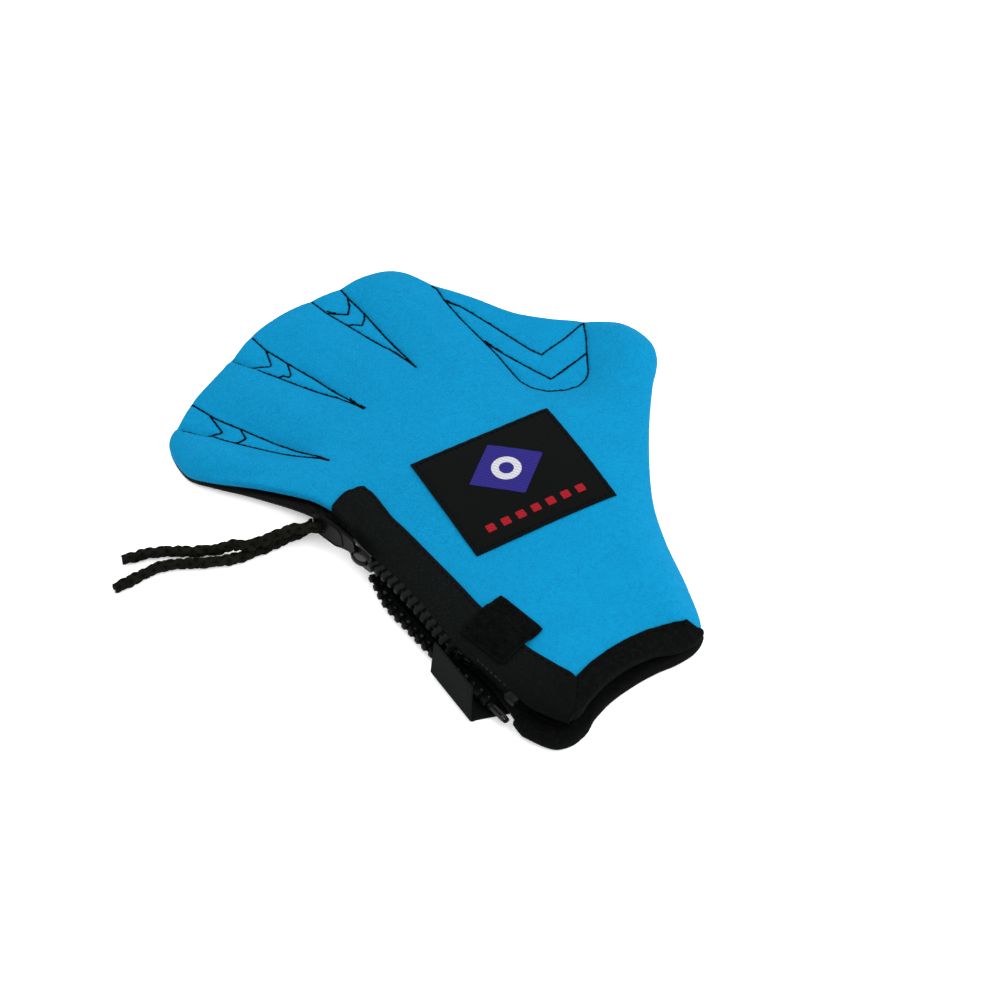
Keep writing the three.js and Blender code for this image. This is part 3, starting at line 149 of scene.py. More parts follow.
# ---------------------------------------------------------------- sewn lines of the webs, in the glove frame
SEAMS = {
    "web1_a": [(-15.4, 136.7), (-14.5, 130.7), (-11.6, 118.3), (-4.9, 75.7)],
    "web1_b": [(-30.2, 135.1), (-27, 125.2), (-21.5, 114.7), (-9.9, 91.7), (-6.9, 82.3), (-4.9, 75.7)],
    "web1_c": [(-14.7, 130.2), (-15.9, 125), (-18.4, 120.7), (-27, 125.2)],
    "web1_d": [(-11.7, 117.9), (-12.6, 115.3), (-15.4, 111.8), (-18.4, 113.8), (-21.5, 114.7)],
    "web2_a": [(-62.1, 125.6), (-59.3, 115.9), (-53.6, 104.7), (-45.3, 88.7), (-38.2, 71.1), (-34.9, 62.4)],
    "web2_b": [(-75.1, 116.5), (-69.3, 108.9), (-60.4, 98.4), (-50, 85.6), (-42, 75.4), (-37.1, 66.6), (-34.9, 62.4)],
    "web2_c": [(-59.3, 115.9), (-60.3, 106.6), (-61.3, 106.1), (-69.3, 108.9)],
    "web2_d": [(-53.6, 104.7), (-54.7, 97.7), (-55.9, 96.7), (-57.8, 98.4), (-60.4, 98.4)],
    "web3_a": [(-99.6, 99.6), (-95, 91.3), (-93.3, 87.8), (-85.4, 77.5), (-71.1, 57.8), (-62.9, 44.6), (-59.9, 39.5)],
    "web3_b": [(-108.7, 87.9), (-103.5, 82.5), (-99.7, 79.3), (-90.5, 70.4), (-77.6, 58.3), (-65.9, 45.5), (-59.9, 39.5)],
    "web3_c": [(-94.7, 90), (-93.1, 79.2), (-94.1, 78.8), (-100, 79.7)],
    "web3_d": [(-85.5, 77.6), (-85.3, 71.8), (-86, 71.3), (-90.5, 70.4)],
    "thumb_u": [(22.5, 121.7), (24, 118.5), (24.1, 109.9), (25.8, 97.3), (29.4, 79.7), (31.5, 69.7), (33.7, 51.9), (36, 46.5), (41, 41.2),
                (48.3, 38.5), (54.9, 38.2), (60, 40.7), (63.3, 44.8), (67.5, 54.7), (71.9, 64.5), (74.4, 72)],
    "thumb_c": [(24.1, 109.9), (29.5, 103.5), (46, 67.6), (49.3, 62.3), (51.8, 63.5), (62.2, 66.7), (71, 70.6), (73.4, 71.5)],
    "thumb_d": [(30, 79), (33.9, 70.6), (40.6, 58.3), (46.6, 47.7), (51.7, 49.2), (66.8, 54.6)],
}
BACKTACKS = [  # doubled stitches at the ends of a line
    [(-26.8, 125.7), (-22.6, 123.2)], [(-14.5, 130.8), (-15.9, 125)], [(24.2, 110.1), (29, 104.1)], [(29.6, 80.2), (33.9, 70.6)],
    [(46.6, 47.7), (66.8, 54.6)], [(-100, 79.7), (-96.8, 79.2)], [(-38.1, 71.2), (-34.5, 62)], [(-65.9, 45.5), (-59.9, 39.5)],
    [(-90.5, 70.6), (-87.6, 71)], [(-9.2, 89.6), (-5, 75)],
]


# ---------------------------------------------------------------- helpers
def smooth(a, b, v):
    t = np.clip((v - a) / (b - a), 0, 1)
    return t * t * (3 - 2 * t)


def round1(v):
    return 1 - (1 - np.clip(v, 0, 1)) ** 2


def mix(a, b, t):
    return a + (b - a) * t


def catmull(points, t, closed=False):
    """The centripetal curve of the CAD source at parameters t, counted in rows."""
    p = np.asarray(points, float)
    n = len(p)
    t = np.atleast_1d(np.asarray(t, float))
    i = np.floor(t).astype(int)
    if closed:
        w, at = t - i, lambda k: p[(i + k) % n]
        p0, p1, p2, p3 = at(-1), at(0), at(1), at(2)
    else:
        i = np.clip(i, 0, n - 2)
        w = t - i
        ext = np.vstack([2 * p[0] - p[1], p, 2 * p[-1] - p[-2]])
        p0, p1, p2, p3 = ext[i], ext[i + 1], ext[i + 2], ext[i + 3]
    q = lambda a, b: np.maximum(np.linalg.norm(a - b, axis=1), 1e-8)[:, None] ** 0.5
    d0, d1, d2 = q(p0, p1), q(p1, p2), q(p2, p3)
    d0 = np.where(d0 < 1e-4, d1, d0)
    d2 = np.where(d2 < 1e-4, d1, d2)
    t1 = ((p1 - p0) / d0 - (p2 - p0) / (d0 + d1) + (p2 - p1) / d1) * d1
    t2 = ((p2 - p1) / d1 - (p3 - p1) / (d1 + d2) + (p3 - p2) / d2) * d1
    w = w[:, None]
    return p1 + t1 * w + (-3 * p1 + 3 * p2 - 2 * t1 - t2) * w**2 + (2 * p1 - 2 * p2 + t1 + t2) * w**3


def along(points, step, closed=False):
    """A polyline resampled evenly."""
    p = np.asarray(points, float)
    if closed:
        p = np.vstack([p, p[:1]])
    s = np.concatenate([[0], np.cumsum(np.linalg.norm(np.diff(p, axis=0), axis=1))])
    n = max(1, int(round(s[-1] / step)))
    q = np.linspace(0, s[-1], n + 1)
    out = np.stack([np.interp(q, s, p[:, k]) for k in range(p.shape[1])], 1)
    return out[:-1] if closed else out


def curved(points, step):
    """A smooth curve through points, resampled evenly."""
    p = np.asarray(points, float)
    return along(catmull(p, np.linspace(0, len(p) - 1, len(p) * 24)), step)


def length_of(p):
    return float(np.linalg.norm(np.diff(p, axis=0), axis=1).sum())


class Rim:
    """A closed rim with the table's numbers along it."""

    def __init__(self, with_out, step=1.1):
        xy = np.array([r[:2] for r in RIM.values()], float)
        cols = np.array([r[2:] for r in RIM.values()], float)
        n = len(xy)
        rows = []
        for i in range(n):
            k = max(1, int(round(np.linalg.norm(xy[(i + 1) % n] - xy[i]) / step)))
            rows += [i + j / k for j in range(k)]
        self.row = np.array(rows)
        f = self.row - np.floor(self.row)
        i = np.floor(self.row).astype(int)
        self.cols = cols[i] * (1 - f)[:, None] + cols[(i + 1) % n] * f[:, None]
        self.p = catmull(xy, self.row, True)
        self.normals()
        if with_out:
            self.p = self.p - self.n * self.cols[:, :1]
            self.normals()

    def normals(self):
        d = np.roll(self.p, -1, 0) - np.roll(self.p, 1, 0)
        d /= np.linalg.norm(d, axis=1)[:, None]
        self.n = np.stack([-d[:, 1], d[:, 0]], 1)

    def near(self, xy):
        """For each point: side (inside positive), d, the place on the rim, its normal, and wall, bow, shelf, lift, soft, row."""
        xy = np.asarray(xy, float)
        a, b = self.p, np.roll(self.p, -1, 0)
        e = b - a
        ee = (e**2).sum(1)
        out = np.empty((len(xy), 12))
        nb, cb = np.roll(self.n, -1, 0), np.roll(self.cols, -1, 0)
        rb = np.append(self.row[1:], len(RIM))
        for s in range(0, len(xy), 3000):
            q = xy[s:s + 3000]
            w = q[:, None, :] - a[None]
            t = np.clip((w * e).sum(2) / ee, 0, 1)
            d = np.hypot(w[..., 0] - t * e[:, 0], w[..., 1] - t * e[:, 1])
            k = d.argmin(1)
            t = t[np.arange(len(q)), k][:, None]
            c = a[k] + e[k] * t
            nn = self.n[k] * (1 - t) + nb[k] * t
            nn /= np.linalg.norm(nn, axis=1)[:, None]
            out[s:s + 3000, 0] = ((q - c) * nn).sum(1)
            out[s:s + 3000, 1] = d.min(1)
            out[s:s + 3000, 2:4] = c
            out[s:s + 3000, 4:6] = nn
            out[s:s + 3000, 6:11] = (self.cols[k] * (1 - t) + cb[k] * t)[:, 1:]
            out[s:s + 3000, 11] = self.row[k] + (rb[k] - self.row[k]) * t[:, 0]
        return out


def seg_distance(xy, a, b):
    a, b = np.asarray(a, float), np.asarray(b, float)
    e = b - a
    t = np.clip(((xy - a) @ e) / (e @ e), 0, 1)
    return np.hypot(*(xy - a - t[:, None] * e).T)


def inside(poly, xy):
    poly = np.asarray(poly, float)
    x, y = xy[:, 0], xy[:, 1]
    c = np.zeros(len(xy), bool)
    j = len(poly) - 1
    for i in range(len(poly)):
        (ax, ay), (bx, by) = poly[i], poly[j]
        hit = (ay > y) != (by > y)
        if ay != by:
            c ^= hit & (x < (bx - ax) * (y - ay) / (by - ay) + ax)
        j = i
    return c


def web_distance(xy):
    d = np.full(len(xy), 1e9)
    for poly in WEBS:
        e = np.min([seg_distance(xy, poly[i - 1], poly[i]) for i in range(len(poly))], 0)
        d = np.minimum(d, np.where(inside(poly, xy), 0, e))
    return d


BACK, PALM = Rim(False), Rim(True)


def back_inner(xy):
    r = BACK.near(xy)
    side, wall, bow, shelf, lift, soft = r[:, 0], r[:, 6], r[:, 7], r[:, 8], r[:, 9], r[:, 10]
    h = np.array(HOLLOW, float)
    full = SHEET + GAP + mix(np.interp(xy[:, 1], h[:, 0], h[:, 1]), np.interp(xy[:, 1], h[:, 0], h[:, 2]), smooth(30, 75, xy[:, 0]))
    for x1, y1, x2, y2, wide, rise in FOLDS:
        full = full + rise * np.exp(-((seg_distance(xy, (x1, y1), (x2, y2)) / wide) ** 2))
    edge = shelf + wall + SHEET * np.clip(-bow / np.hypot(bow, wall), 0, 1) + GAP + lift
    d = np.maximum(0, side)
    z = edge + (full - edge) * round1(d / soft)
    floor = SHEET + GAP
    w = round1(web_distance(xy) / WEB_SOFT)
    whole = z
    z = floor + np.maximum(0, z - floor) * w
    for x1, y1 in ((-4.9, 75.7), (-34.9, 62.4), (-59.9, 39.5)):  # the narrow end of a web runs out into the back of the hand
        z = z + (whole - z) * 0.8 * np.exp(-(((xy[:, 0] - x1) ** 2 + (xy[:, 1] - y1) ** 2) / 17**2))
    return np.maximum(z, floor + (shelf + wall) * (1 - smooth(8, 26, d)) * 0.999 * (w > 0)), side


class Raster:
    """A field over the glove, kept on a fine grid and read back between its points."""

    STEP = 0.7
    X = np.arange(-124, 104, STEP)
    Y = np.arange(-128, 148, STEP)

    def __init__(self, values):
        self.v = values.reshape(len(self.Y), len(self.X))

    @classmethod
    def points(cls):
        gx, gy = np.meshgrid(cls.X, cls.Y)
        return np.stack([gx.ravel(), gy.ravel()], 1)

    def __call__(self, x, y):
        fx = np.clip((np.asarray(x, float) - self.X[0]) / self.STEP, 0, len(self.X) - 1.001)
        fy = np.clip((np.asarray(y, float) - self.Y[0]) / self.STEP, 0, len(self.Y) - 1.001)
        i, j = fx.astype(int), fy.astype(int)
        u, w = fx - i, fy - j
        v = self.v
        return (v[j, i] * (1 - u) + v[j, i + 1] * u) * (1 - w) + (v[j + 1, i] * (1 - u) + v[j + 1, i + 1] * u) * w


_grid = Raster.points()
_inner, _side = back_inner(_grid)
INNER, SIDE = Raster(_inner), Raster(_side)
_gy, _gx = np.gradient(INNER.v, Raster.STEP)
OUTER = Raster(_inner + SHEET * np.sqrt(1 + smooth(1, 9, _side) * np.minimum(2, (_gx**2 + _gy**2).ravel())))


def palm_outer(xy):
    """The palm sheet's lower face, curled up at its border: points, and how far in from the rim each lies."""
    r = PALM.near(xy)
    d = np.maximum(0, r[:, 0])
    shelf = r[:, 8] * (1 - smooth(16, 30, d))
    u = 1 - d / CURL
    e = -CURL * (1 - u) ** 2 + 2 * u * (1 - u) * r[:, 7]
    q = r[:, 2:4] - r[:, 4:6] * e[:, None]
    flat = d >= CURL
    out = np.column_stack([q, u * u * r[:, 6] + shelf])
    out[flat, :2] = xy[flat]
    out[flat, 2] = shelf[flat]
    return out, r


def seam_distance(xy):
    d = np.full(len(xy), 1e9)
    for line in SEAMS.values():
        for a, b in zip(line[:-1], line[1:]):
            d = np.minimum(d, seg_distance(xy, a, b))
    return d


def thin(points, cell):
    """Keeps one point of each cell, the first ones first."""
    key = np.round(points / cell).astype(int)
    _, first = np.unique(key, axis=0, return_index=True)
    return points[np.sort(first)]


def triangulate(loop, points):
    """Triangles over the inside of a loop: the loop's points come first."""
    n = len(loop)
    v = [Vector(map(float, p)) for p in loop] + [Vector(map(float, p)) for p in points]
    out = delaunay_2d_cdt(v, [], [list(range(n))], 1, 1e-5)
    verts, faces, origin = out[0], out[2], out[3]
    place = {}
    for i, o in enumerate(origin):
        for k in o:
            place[k] = i
    order = [place[i] for i in range(n)]
    xy = np.array([(p[0], p[1]) for p in verts])
    rest = np.ones(len(xy), bool)
    rest[order] = False
    rank = np.empty(len(xy), int)
    rank[order] = np.arange(n)
    rank[rest] = n + np.arange(rest.sum())
    tri = rank[np.array([f for f in faces if len(f) == 3])]
    new = np.empty_like(xy)
    new[rank] = xy
    a, b, c = new[tri[:, 0]], new[tri[:, 1]], new[tri[:, 2]]
    area = (b[:, 0] - a[:, 0]) * (c[:, 1] - a[:, 1]) - (b[:, 1] - a[:, 1]) * (c[:, 0] - a[:, 0])
    tri[area < 0] = tri[area < 0][:, ::-1]
    return new, tri[np.abs(area) > 1e-9]


def hex_grid(step, poly=None):
    x = np.arange(-124, 104, step)
    y = np.arange(-128, 148, step * 0.866)
    gx, gy = np.meshgrid(x, y)
    gx = gx + (np.arange(len(y)) % 2)[:, None] * step / 2
    p = np.stack([gx.ravel(), gy.ravel()], 1)
    return p if poly is None else p[inside(poly, p)]


def rings(rim, depths, start=0):
    out = []
    for k, d in enumerate(depths):
        p = rim.p + rim.n * d
        keep = (rim.near(p)[:, 0] > d * 0.9) & inside(rim.p, p)
        out.append(p[keep])
    return np.vstack(out)


def new_object(name, verts, faces, mats, index=None, uv=None, sharp=35):
    """A mesh object from glove-frame millimetres."""
    me = bpy.data.meshes.new(name)
    v = (np.asarray(verts, float) + SHIFT) * MM
    me.from_pydata(v.tolist(), [], [tuple(int(i) for i in f) for f in faces])
    for m in mats if isinstance(mats, (list, tuple)) else [mats]:
        me.materials.append(m)
    if index is not None:
        me.polygons.foreach_set("material_index", np.asarray(index, np.int32))
    if uv is not None:
        layer = me.uv_layers.new(name="flat")
        li = np.empty(len(me.loops), np.int32)
        me.loops.foreach_get("vertex_index", li)
        layer.data.foreach_set("uv", (np.asarray(uv, float)[li]).ravel().astype(np.float32))
    me.polygons.foreach_set("use_smooth", np.ones(len(me.polygons), bool))
    me.set_sharp_from_angle(angle=math.radians(sharp))
    me.update()
    me.validate()
    o = bpy.data.objects.new(name, me)
    bpy.context.collection.objects.link(o)
    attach(o, "root")
    return o


def bevelled(o, width, segments=2, angle=35):
    m = o.modifiers.new("bevel", "BEVEL")
    m.width, m.segments, m.limit_method, m.angle_limit = width * MM, segments, "ANGLE", math.radians(angle)
    m.harden_normals = False
    return o


def applied(o):
    """The object with its modifiers made part of the mesh."""
    dg = bpy.context.evaluated_depsgraph_get()
    me = bpy.data.meshes.new_from_object(o.evaluated_get(dg))
    old = o.data
    o.modifiers.clear()
    o.data = me
    bpy.data.meshes.remove(old)
    return o


class Mesh:
    """Gathers several closed parts into one mesh."""

    def __init__(self):
        self.v, self.f, self.m, self.u, self.n = [], [], [], [], 0

    def add(self, verts, faces, mat=0, uv=None):
        verts = np.asarray(verts, float)
        self.v.append(verts)
        self.f += [tuple(int(i) + self.n for i in f) for f in faces]
        self.m += [mat] * len(faces) if np.isscalar(mat) else list(mat)
        self.u.append(np.zeros((len(verts), 2)) if uv is None else np.asarray(uv, float))
        self.n += len(verts)

    def object(self, name, mats, slot, sharp=35):
        return new_object(name, np.vstack(self.v), self.f, mats, self.m, np.vstack(self.u), sharp)


def grid_plate(outer, inner, us=None, vs=None):
    """A closed plate between two grids of points (rows, cols, 3)."""
    outer, inner = np.asarray(outer, float), np.asarray(inner, float)
    R, C = outer.shape[:2]
    idx = lambda s, r, c: s * R * C + r * C + c
    f = []
    for r in range(R - 1):
        for c in range(C - 1):
            f.append((idx(0, r, c), idx(0, r + 1, c), idx(0, r + 1, c + 1), idx(0, r, c + 1)))
            f.append((idx(1, r, c), idx(1, r, c + 1), idx(1, r + 1, c + 1), idx(1, r + 1, c)))
    for r in range(R - 1):
        f.append((idx(0, r, 0), idx(1, r, 0), idx(1, r + 1, 0), idx(0, r + 1, 0)))
        f.append((idx(0, r, C - 1), idx(0, r + 1, C - 1), idx(1, r + 1, C - 1), idx(1, r, C - 1)))
    for c in range(C - 1):
        f.append((idx(0, 0, c), idx(0, 0, c + 1), idx(1, 0, c + 1), idx(1, 0, c)))
        f.append((idx(0, R - 1, c), idx(1, R - 1, c), idx(1, R - 1, c + 1), idx(0, R - 1, c + 1)))
    v = np.vstack([outer.reshape(-1, 3), inner.reshape(-1, 3)])
    return v, outward(v, f)


def outward(v, f):
    """Turns all faces over if the closed mesh is inside out."""
    vol = 0.0
    for q in f:
        a = v[q[0]]
        for k in range(1, len(q) - 1):
            vol += float(np.dot(a, np.cross(v[q[k]], v[q[k + 1]])))
    return [tuple(reversed(q)) for q in f] if vol < 0 else list(f)


def frames(path):
    """Tangent, normal and binormal along a path, carried without twist."""
    p = np.asarray(path, float)
    t = np.gradient(p, axis=0)
    t /= np.maximum(np.linalg.norm(t, axis=1), 1e-9)[:, None]
    ref = np.array([0, 0, 1.0]) if abs(t[0][2]) < 0.9 else np.array([1.0, 0, 0])
    n = ref - t[0] * (ref @ t[0])
    n /= np.linalg.norm(n)
    ns = [n]
    for k in range(1, len(p)):
        n = n - t[k] * (n @ t[k])
        n /= max(np.linalg.norm(n), 1e-9)
        ns.append(n)
    ns = np.array(ns)
    return t, ns, np.cross(t, ns)


def tube(mesh, path, radius, sides=6, mat=0, flat=None, ends=0.45, up=None):
    """A closed tube along a path; flat=(wide, thin) gives it an oval section."""
    p = np.asarray(path, float)
    t, n, b = frames(p)
    if up is not None:
        n = np.asarray(up, float) - t * (t * np.asarray(up, float)).sum(1)[:, None]
        n /= np.linalg.norm(n, axis=1)[:, None]
        b = np.cross(t, n)
    k = len(p)
    a = np.arange(sides) * 2 * math.pi / sides
    r = np.full(k, float(radius)) if np.isscalar(radius) else np.asarray(radius, float)
    r = r.copy()
    if ends:
        r[0] *= ends
        r[-1] *= ends
    wide, thin_ = flat if flat else (1, 1)
    ring = n[:, None, :] * np.cos(a)[None, :, None] * thin_ + b[:, None, :] * np.sin(a)[None, :, None] * wide
    v = (p[:, None, :] + ring * r[:, None, None]).reshape(-1, 3)
    f = []
    for i in range(k - 1):
        for j in range(sides):
            j2 = (j + 1) % sides
            f.append((i * sides + j, i * sides + j2, (i + 1) * sides + j2, (i + 1) * sides + j))
    f.append(tuple(range(sides))[::-1])
    f.append(tuple(range((k - 1) * sides, k * sides)))
    s = np.concatenate([[0], np.cumsum(np.linalg.norm(np.diff(p, axis=0), axis=1))])
    uv = np.stack([np.repeat(s, sides) * MM * 100, np.tile(np.arange(sides) / sides, k)], 1)
    mesh.add(v, f, mat, uv)


def stitches(mesh, line, height, radius=0.3, long=2.5, gap=0.45, mat=0, sink=0.0, below=False, wobble=0.12, dip=1.5):
    """Sewn stitches along a line of (x, y), each dipping into the cloth at its ends."""
    p = along(line, 0.2)
    s = np.concatenate([[0], np.cumsum(np.linalg.norm(np.diff(p, axis=0), axis=1))])
    at = 0.0
    while at < s[-1] - 0.6:
        end = min(s[-1], at + long)
        q = np.linspace(at, end, 6)
        x, y = np.interp(q, s, p[:, 0]), np.interp(q, s, p[:, 1])
        d = np.array([x[-1] - x[0], y[-1] - y[0]])
        d /= max(np.linalg.norm(d), 1e-6)
        off = RNG.normal(0, wobble, 2)
        o = np.linspace(off[0], off[1], 6)
        x, y = x - d[1] * o, y + d[0] * o
        f = (q - at) / (end - at)
        rise = radius * 0.75 - sink - np.abs(2 * f - 1) ** 3 * radius * dip
        z = height(x, y)
        tube(mesh, np.column_stack([x, y, z - rise if below else z + rise]), radius * (1 + RNG.normal(0, 0.1)), 6, mat, ends=0.8 if dip < 1 else 0.6)
        at = end + gap


# ---------------------------------------------------------------- materials
class Shader:
    """A Principled material with a few helpers for procedural detail."""

    def __init__(self, name, rough=0.7, **sockets):
        self.m = bpy.data.materials.new(name)
        self.m.use_nodes = True
        self.t = self.m.node_tree
        self.t.nodes.clear()
        out = self.t.nodes.new("ShaderNodeOutputMaterial")
        self.b = self.t.nodes.new("ShaderNodeBsdfPrincipled")
        self.t.links.new(self.b.outputs["BSDF"], out.inputs["Surface"])
        self.b.inputs["Roughness"].default_value = rough
        for k, v in sockets.items():
            self.b.inputs[k.replace("_", " ")].default_value = v
        self.coord = self.t.nodes.new("ShaderNodeTexCoord")

    def node(self, kind, inputs=None, **props):
        n = self.t.nodes.new("ShaderNode" + kind)
        for k, v in props.items():
            setattr(n, k, v)
        for k, v in (inputs or {}).items():
            self.put(n.inputs[k], v)
        return n

    def put(self, socket, v):
        if isinstance(v, bpy.types.NodeSocket):
            self.t.links.new(v, socket)
        else:
            socket.default_value = v

    def object(self):
        return self.coord.outputs["Object"]

    def uv(self):
        return self.coord.outputs["UV"]

    def scaled(self, vector, xyz):
        return self.node("Mapping", {"Vector": vector, "Scale": xyz}).outputs[0]

    def noise(self, scale, detail=2.0, rough=0.5, vector=None):
        return self.node("TexNoise", {"Vector": vector or self.object(), "Scale": scale, "Detail": detail, "Roughness": rough}).outputs["Fac"]

    def wave(self, scale, axis="X", vector=None, distort=0.0, profile="SIN"):
        return self.node("TexWave", {"Vector": vector or self.object(), "Scale": scale, "Distortion": distort}, bands_direction=axis, wave_profile=profile).outputs["Fac"]

    def cells(self, scale, vector=None, random=0.0):
        return self.node("TexVoronoi", {"Vector": vector or self.object(), "Scale": scale, "Randomness": random}).outputs["Distance"]

    def math(self, op, a, b=0.0, clamp=False):
        return self.node("Math", {0: a, 1: b}, operation=op, use_clamp=clamp).outputs[0]

    def span(self, v, a, b, c=0.0, d=1.0):
        return self.node("MapRange", {"Value": v, "From Min": a, "From Max": b, "To Min": c, "To Max": d}).outputs[0]

    def colours(self, fac, a, b):
        n = self.node("Mix", data_type="RGBA")
        self.put(n.inputs[0], fac)
        self.put(n.inputs[6], (*a, 1) if isinstance(a, tuple) else a)
        self.put(n.inputs[7], (*b, 1) if isinstance(b, tuple) else b)
        return n.outputs[2]

    def base(self, v):
        self.put(self.b.inputs["Base Color"], (*v, 1) if isinstance(v, tuple) else v)

    def rough(self, v):
        self.put(self.b.inputs["Roughness"], v)

    def bump(self, *layers):
        """layers: (height socket, distance in mm, strength)"""
        normal = None
        for height, dist, strength in layers:
            n = self.node("Bump", {"Height": height, "Distance": dist * MM, "Strength": strength})
            if normal is not None:
                self.put(n.inputs["Normal"], normal)
            normal = n.outputs[0]
        self.put(self.b.inputs["Normal"], normal)
        return self.m


def lin(r, g, b):
    f = lambda c: c / 12.92 if c <= 0.04045 else ((c + 0.055) / 1.055) ** 2.4
    return tuple(f(v / 255) for v in (r, g, b))


def times(c, k):
    return tuple(v * k for v in c)


def knit(s, vector, wale, course):
    """Rows of small knitted loops: ribs across, broken into stitches along."""
    a = s.wave(1 / (wale * MM) / 20 * math.pi * 2 / 2, "X", vector)
    b = s.wave(1 / (course * MM) / 20 * math.pi * 2 / 2, "Y", vector, 0.3)
    return s.math("MULTIPLY", a, s.span(b, 0, 1, 0.45, 1))


BLUE = (0.0016, 0.1555, 0.311)


def make_blue():
    s = Shader("blue_nylon_jersey", 0.85, Specular_IOR_Level=0.035)
    big, mid, fine = s.noise(30, 3, 0.55), s.noise(420, 3, 0.6), s.noise(1900, 2, 0.6)
    c = s.colours(s.span(big, 0.3, 0.7), times(BLUE, 0.945), times(BLUE, 1.055))
    c = s.colours(s.span(s.noise(125, 3, 0.6), 0.4, 0.68, 0, 0.5), c, times(BLUE, 1.13))
    near = s.span(s.node("SeparateXYZ", {"Vector": s.object()}).outputs[1], -0.03, -0.075)  # paler, cloudy patches toward the wrist: partly painted light for the brighter lighting there, partly worn, stretched cloth
    c = s.colours(s.math("MULTIPLY", near, s.span(s.noise(48, 3, 0.6), 0.35, 0.62, 0.25, 0.75)), c, times(BLUE, 1.17))
    c = s.colours(s.span(mid, 0.38, 0.68, 0, 0.45), c, times(BLUE, 0.75))
    c = s.colours(s.span(fine, 0.42, 0.68, 0, 0.9), c, times(BLUE, 1.33))
    c = s.colours(s.span(s.noise(620, 1, 0.4), 0.69, 0.8, 0, 0.4), c, times(BLUE, 0.7))
    s.base(c)
    k = knit(s, s.object(), 0.62, 0.5)
    return s.bump((mid, 0.1, 0.4), (k, 0.05, 0.5), (fine, 0.05, 0.4))


def make_palm():
    s = Shader("black_embossed_neoprene", 0.72, Specular_IOR_Level=0.04)
    turn = s.node("Mapping", {"Vector": s.uv(), "Rotation": (0, 0, math.radians(45))}).outputs[0]
    dots = s.cells(1000 / 1.25, turn)
    dip = s.span(dots, 0.12, 0.5)
    n = s.noise(1500, 3, 0.6)
    # painted shade: the dimple hollows are coloured darker and the raised parts between them lighter
    c = s.colours(dip, (0.0022, 0.0024, 0.0022), (0.0095, 0.0098, 0.0088))
    s.base(s.colours(s.span(n, 0.3, 0.7, 0, 0.5), c, (0.004, 0.0042, 0.0038)))
    return s.bump((dip, 0.35, 0.8), (n, 0.08, 0.4))


def make_jersey(name, colour, wale=0.6, course=0.45, rough=0.88):
    s = Shader(name, rough, Specular_IOR_Level=0.025)
    n, f, m = s.noise(160, 3, 0.6), s.noise(2400, 2, 0.6), s.noise(620, 3, 0.65)
    c = s.colours(s.span(n, 0.3, 0.7), times(colour, 0.8), times(colour, 1.2))
    s.base(s.colours(s.span(m, 0.46, 0.68, 0, 0.8), c, times(colour, 2.1)))
    return s.bump((n, 0.4, 0.35), (knit(s, s.object(), wale, course), 0.07, 0.6), (f, 0.07, 0.6))


def make_tape():
    s = Shader("black_woven_zip_tape", 0.75, Specular_IOR_Level=0.03)
    uv = s.uv()  # u runs along the tape in metres x 10, v across it
    ribs = s.node("TexWave", {"Vector": uv, "Scale": 100 / 0.62 / 2 / 3.2}, bands_direction="Y").outputs["Fac"]
    picks = s.node("TexWave", {"Vector": uv, "Scale": 100 / 0.55 / 2 / 3.2}, bands_direction="X").outputs["Fac"]
    n = s.noise(900, 3, 0.6)
    k = s.math("MULTIPLY", s.span(ribs, 0, 1, 0.45, 1), s.span(picks, 0, 1, 0.6, 1))
    c = s.colours(k, (0.0021, 0.0027, 0.0027), (0.0036, 0.0046, 0.0045))
    c = s.colours(s.span(n, 0.35, 0.7, 0, 0.7), c, (0.0013, 0.0018, 0.0017))
    c = s.colours(s.span(s.noise(1300, 3, 0.65), 0.5, 0.7, 0, 0.8), c, (0.0062, 0.0078, 0.0078))
    far = s.node("SeparateXYZ", {"Vector": s.object()}).outputs[1]  # darker towards the wrist end: painted shade where the tape's end dips under the hem
    s.base(s.colours(s.span(far, -0.118, -0.088, 0.55, 0), c, (0.0006, 0.0008, 0.0008)))
    return s.bump((k, 0.08, 0.6), (n, 0.06, 0.5))


def make_plastic(name, colour, rough, bump=0.03, level=0.1):
    s = Shader(name, rough, Specular_IOR_Level=level)
    n, w = s.noise(900, 3, 0.6), s.noise(120, 3, 0.6)
    s.base(s.colours(s.span(w, 0.3, 0.7), times(colour, 0.8), times(colour, 1.25)))
    s.rough(s.span(n, 0.3, 0.7, rough - 0.08, rough + 0.1))
    return s.bump((n, bump, 0.6))


def make_fibre(name, colour, rough=0.8, spread=0.35, scale=1800, level=0.03):
    s = Shader(name, rough, Specular_IOR_Level=level)
    n, f = s.noise(260, 2, 0.5), s.noise(scale, 2, 0.6)
    s.base(s.colours(s.span(n, 0.3, 0.7), times(colour, 1 - spread), times(colour, 1 + spread)))
    return s.bump((f, 0.08, 0.7))


def make_weave(name, colour, pitch=0.5, rough=0.6, spread=0.22, depth=0.09, level=0.03):
    s = Shader(name, rough, Specular_IOR_Level=level)
    v = s.object()
    a = s.node("TexWave", {"Vector": v, "Scale": 1000 / pitch / 2 / 3.2}, bands_direction="DIAGONAL").outputs["Fac"]
    b = s.node("TexWave", {"Vector": v, "Scale": 1000 / pitch / 2 / 3.2 * 0.8}, bands_direction="X").outputs["Fac"]
    n = s.noise(700, 3, 0.6)
    k = s.math("MULTIPLY", a, s.span(b, 0, 1, 0.5, 1))
    c = s.colours(k, times(colour, 1 - spread), times(colour, 1 + spread))
    s.base(s.colours(s.span(n, 0.3, 0.75, 0, 0.35), c, times(colour, 0.8)))
    return s.bump((k, depth, 0.8), (n, 0.05, 0.4))


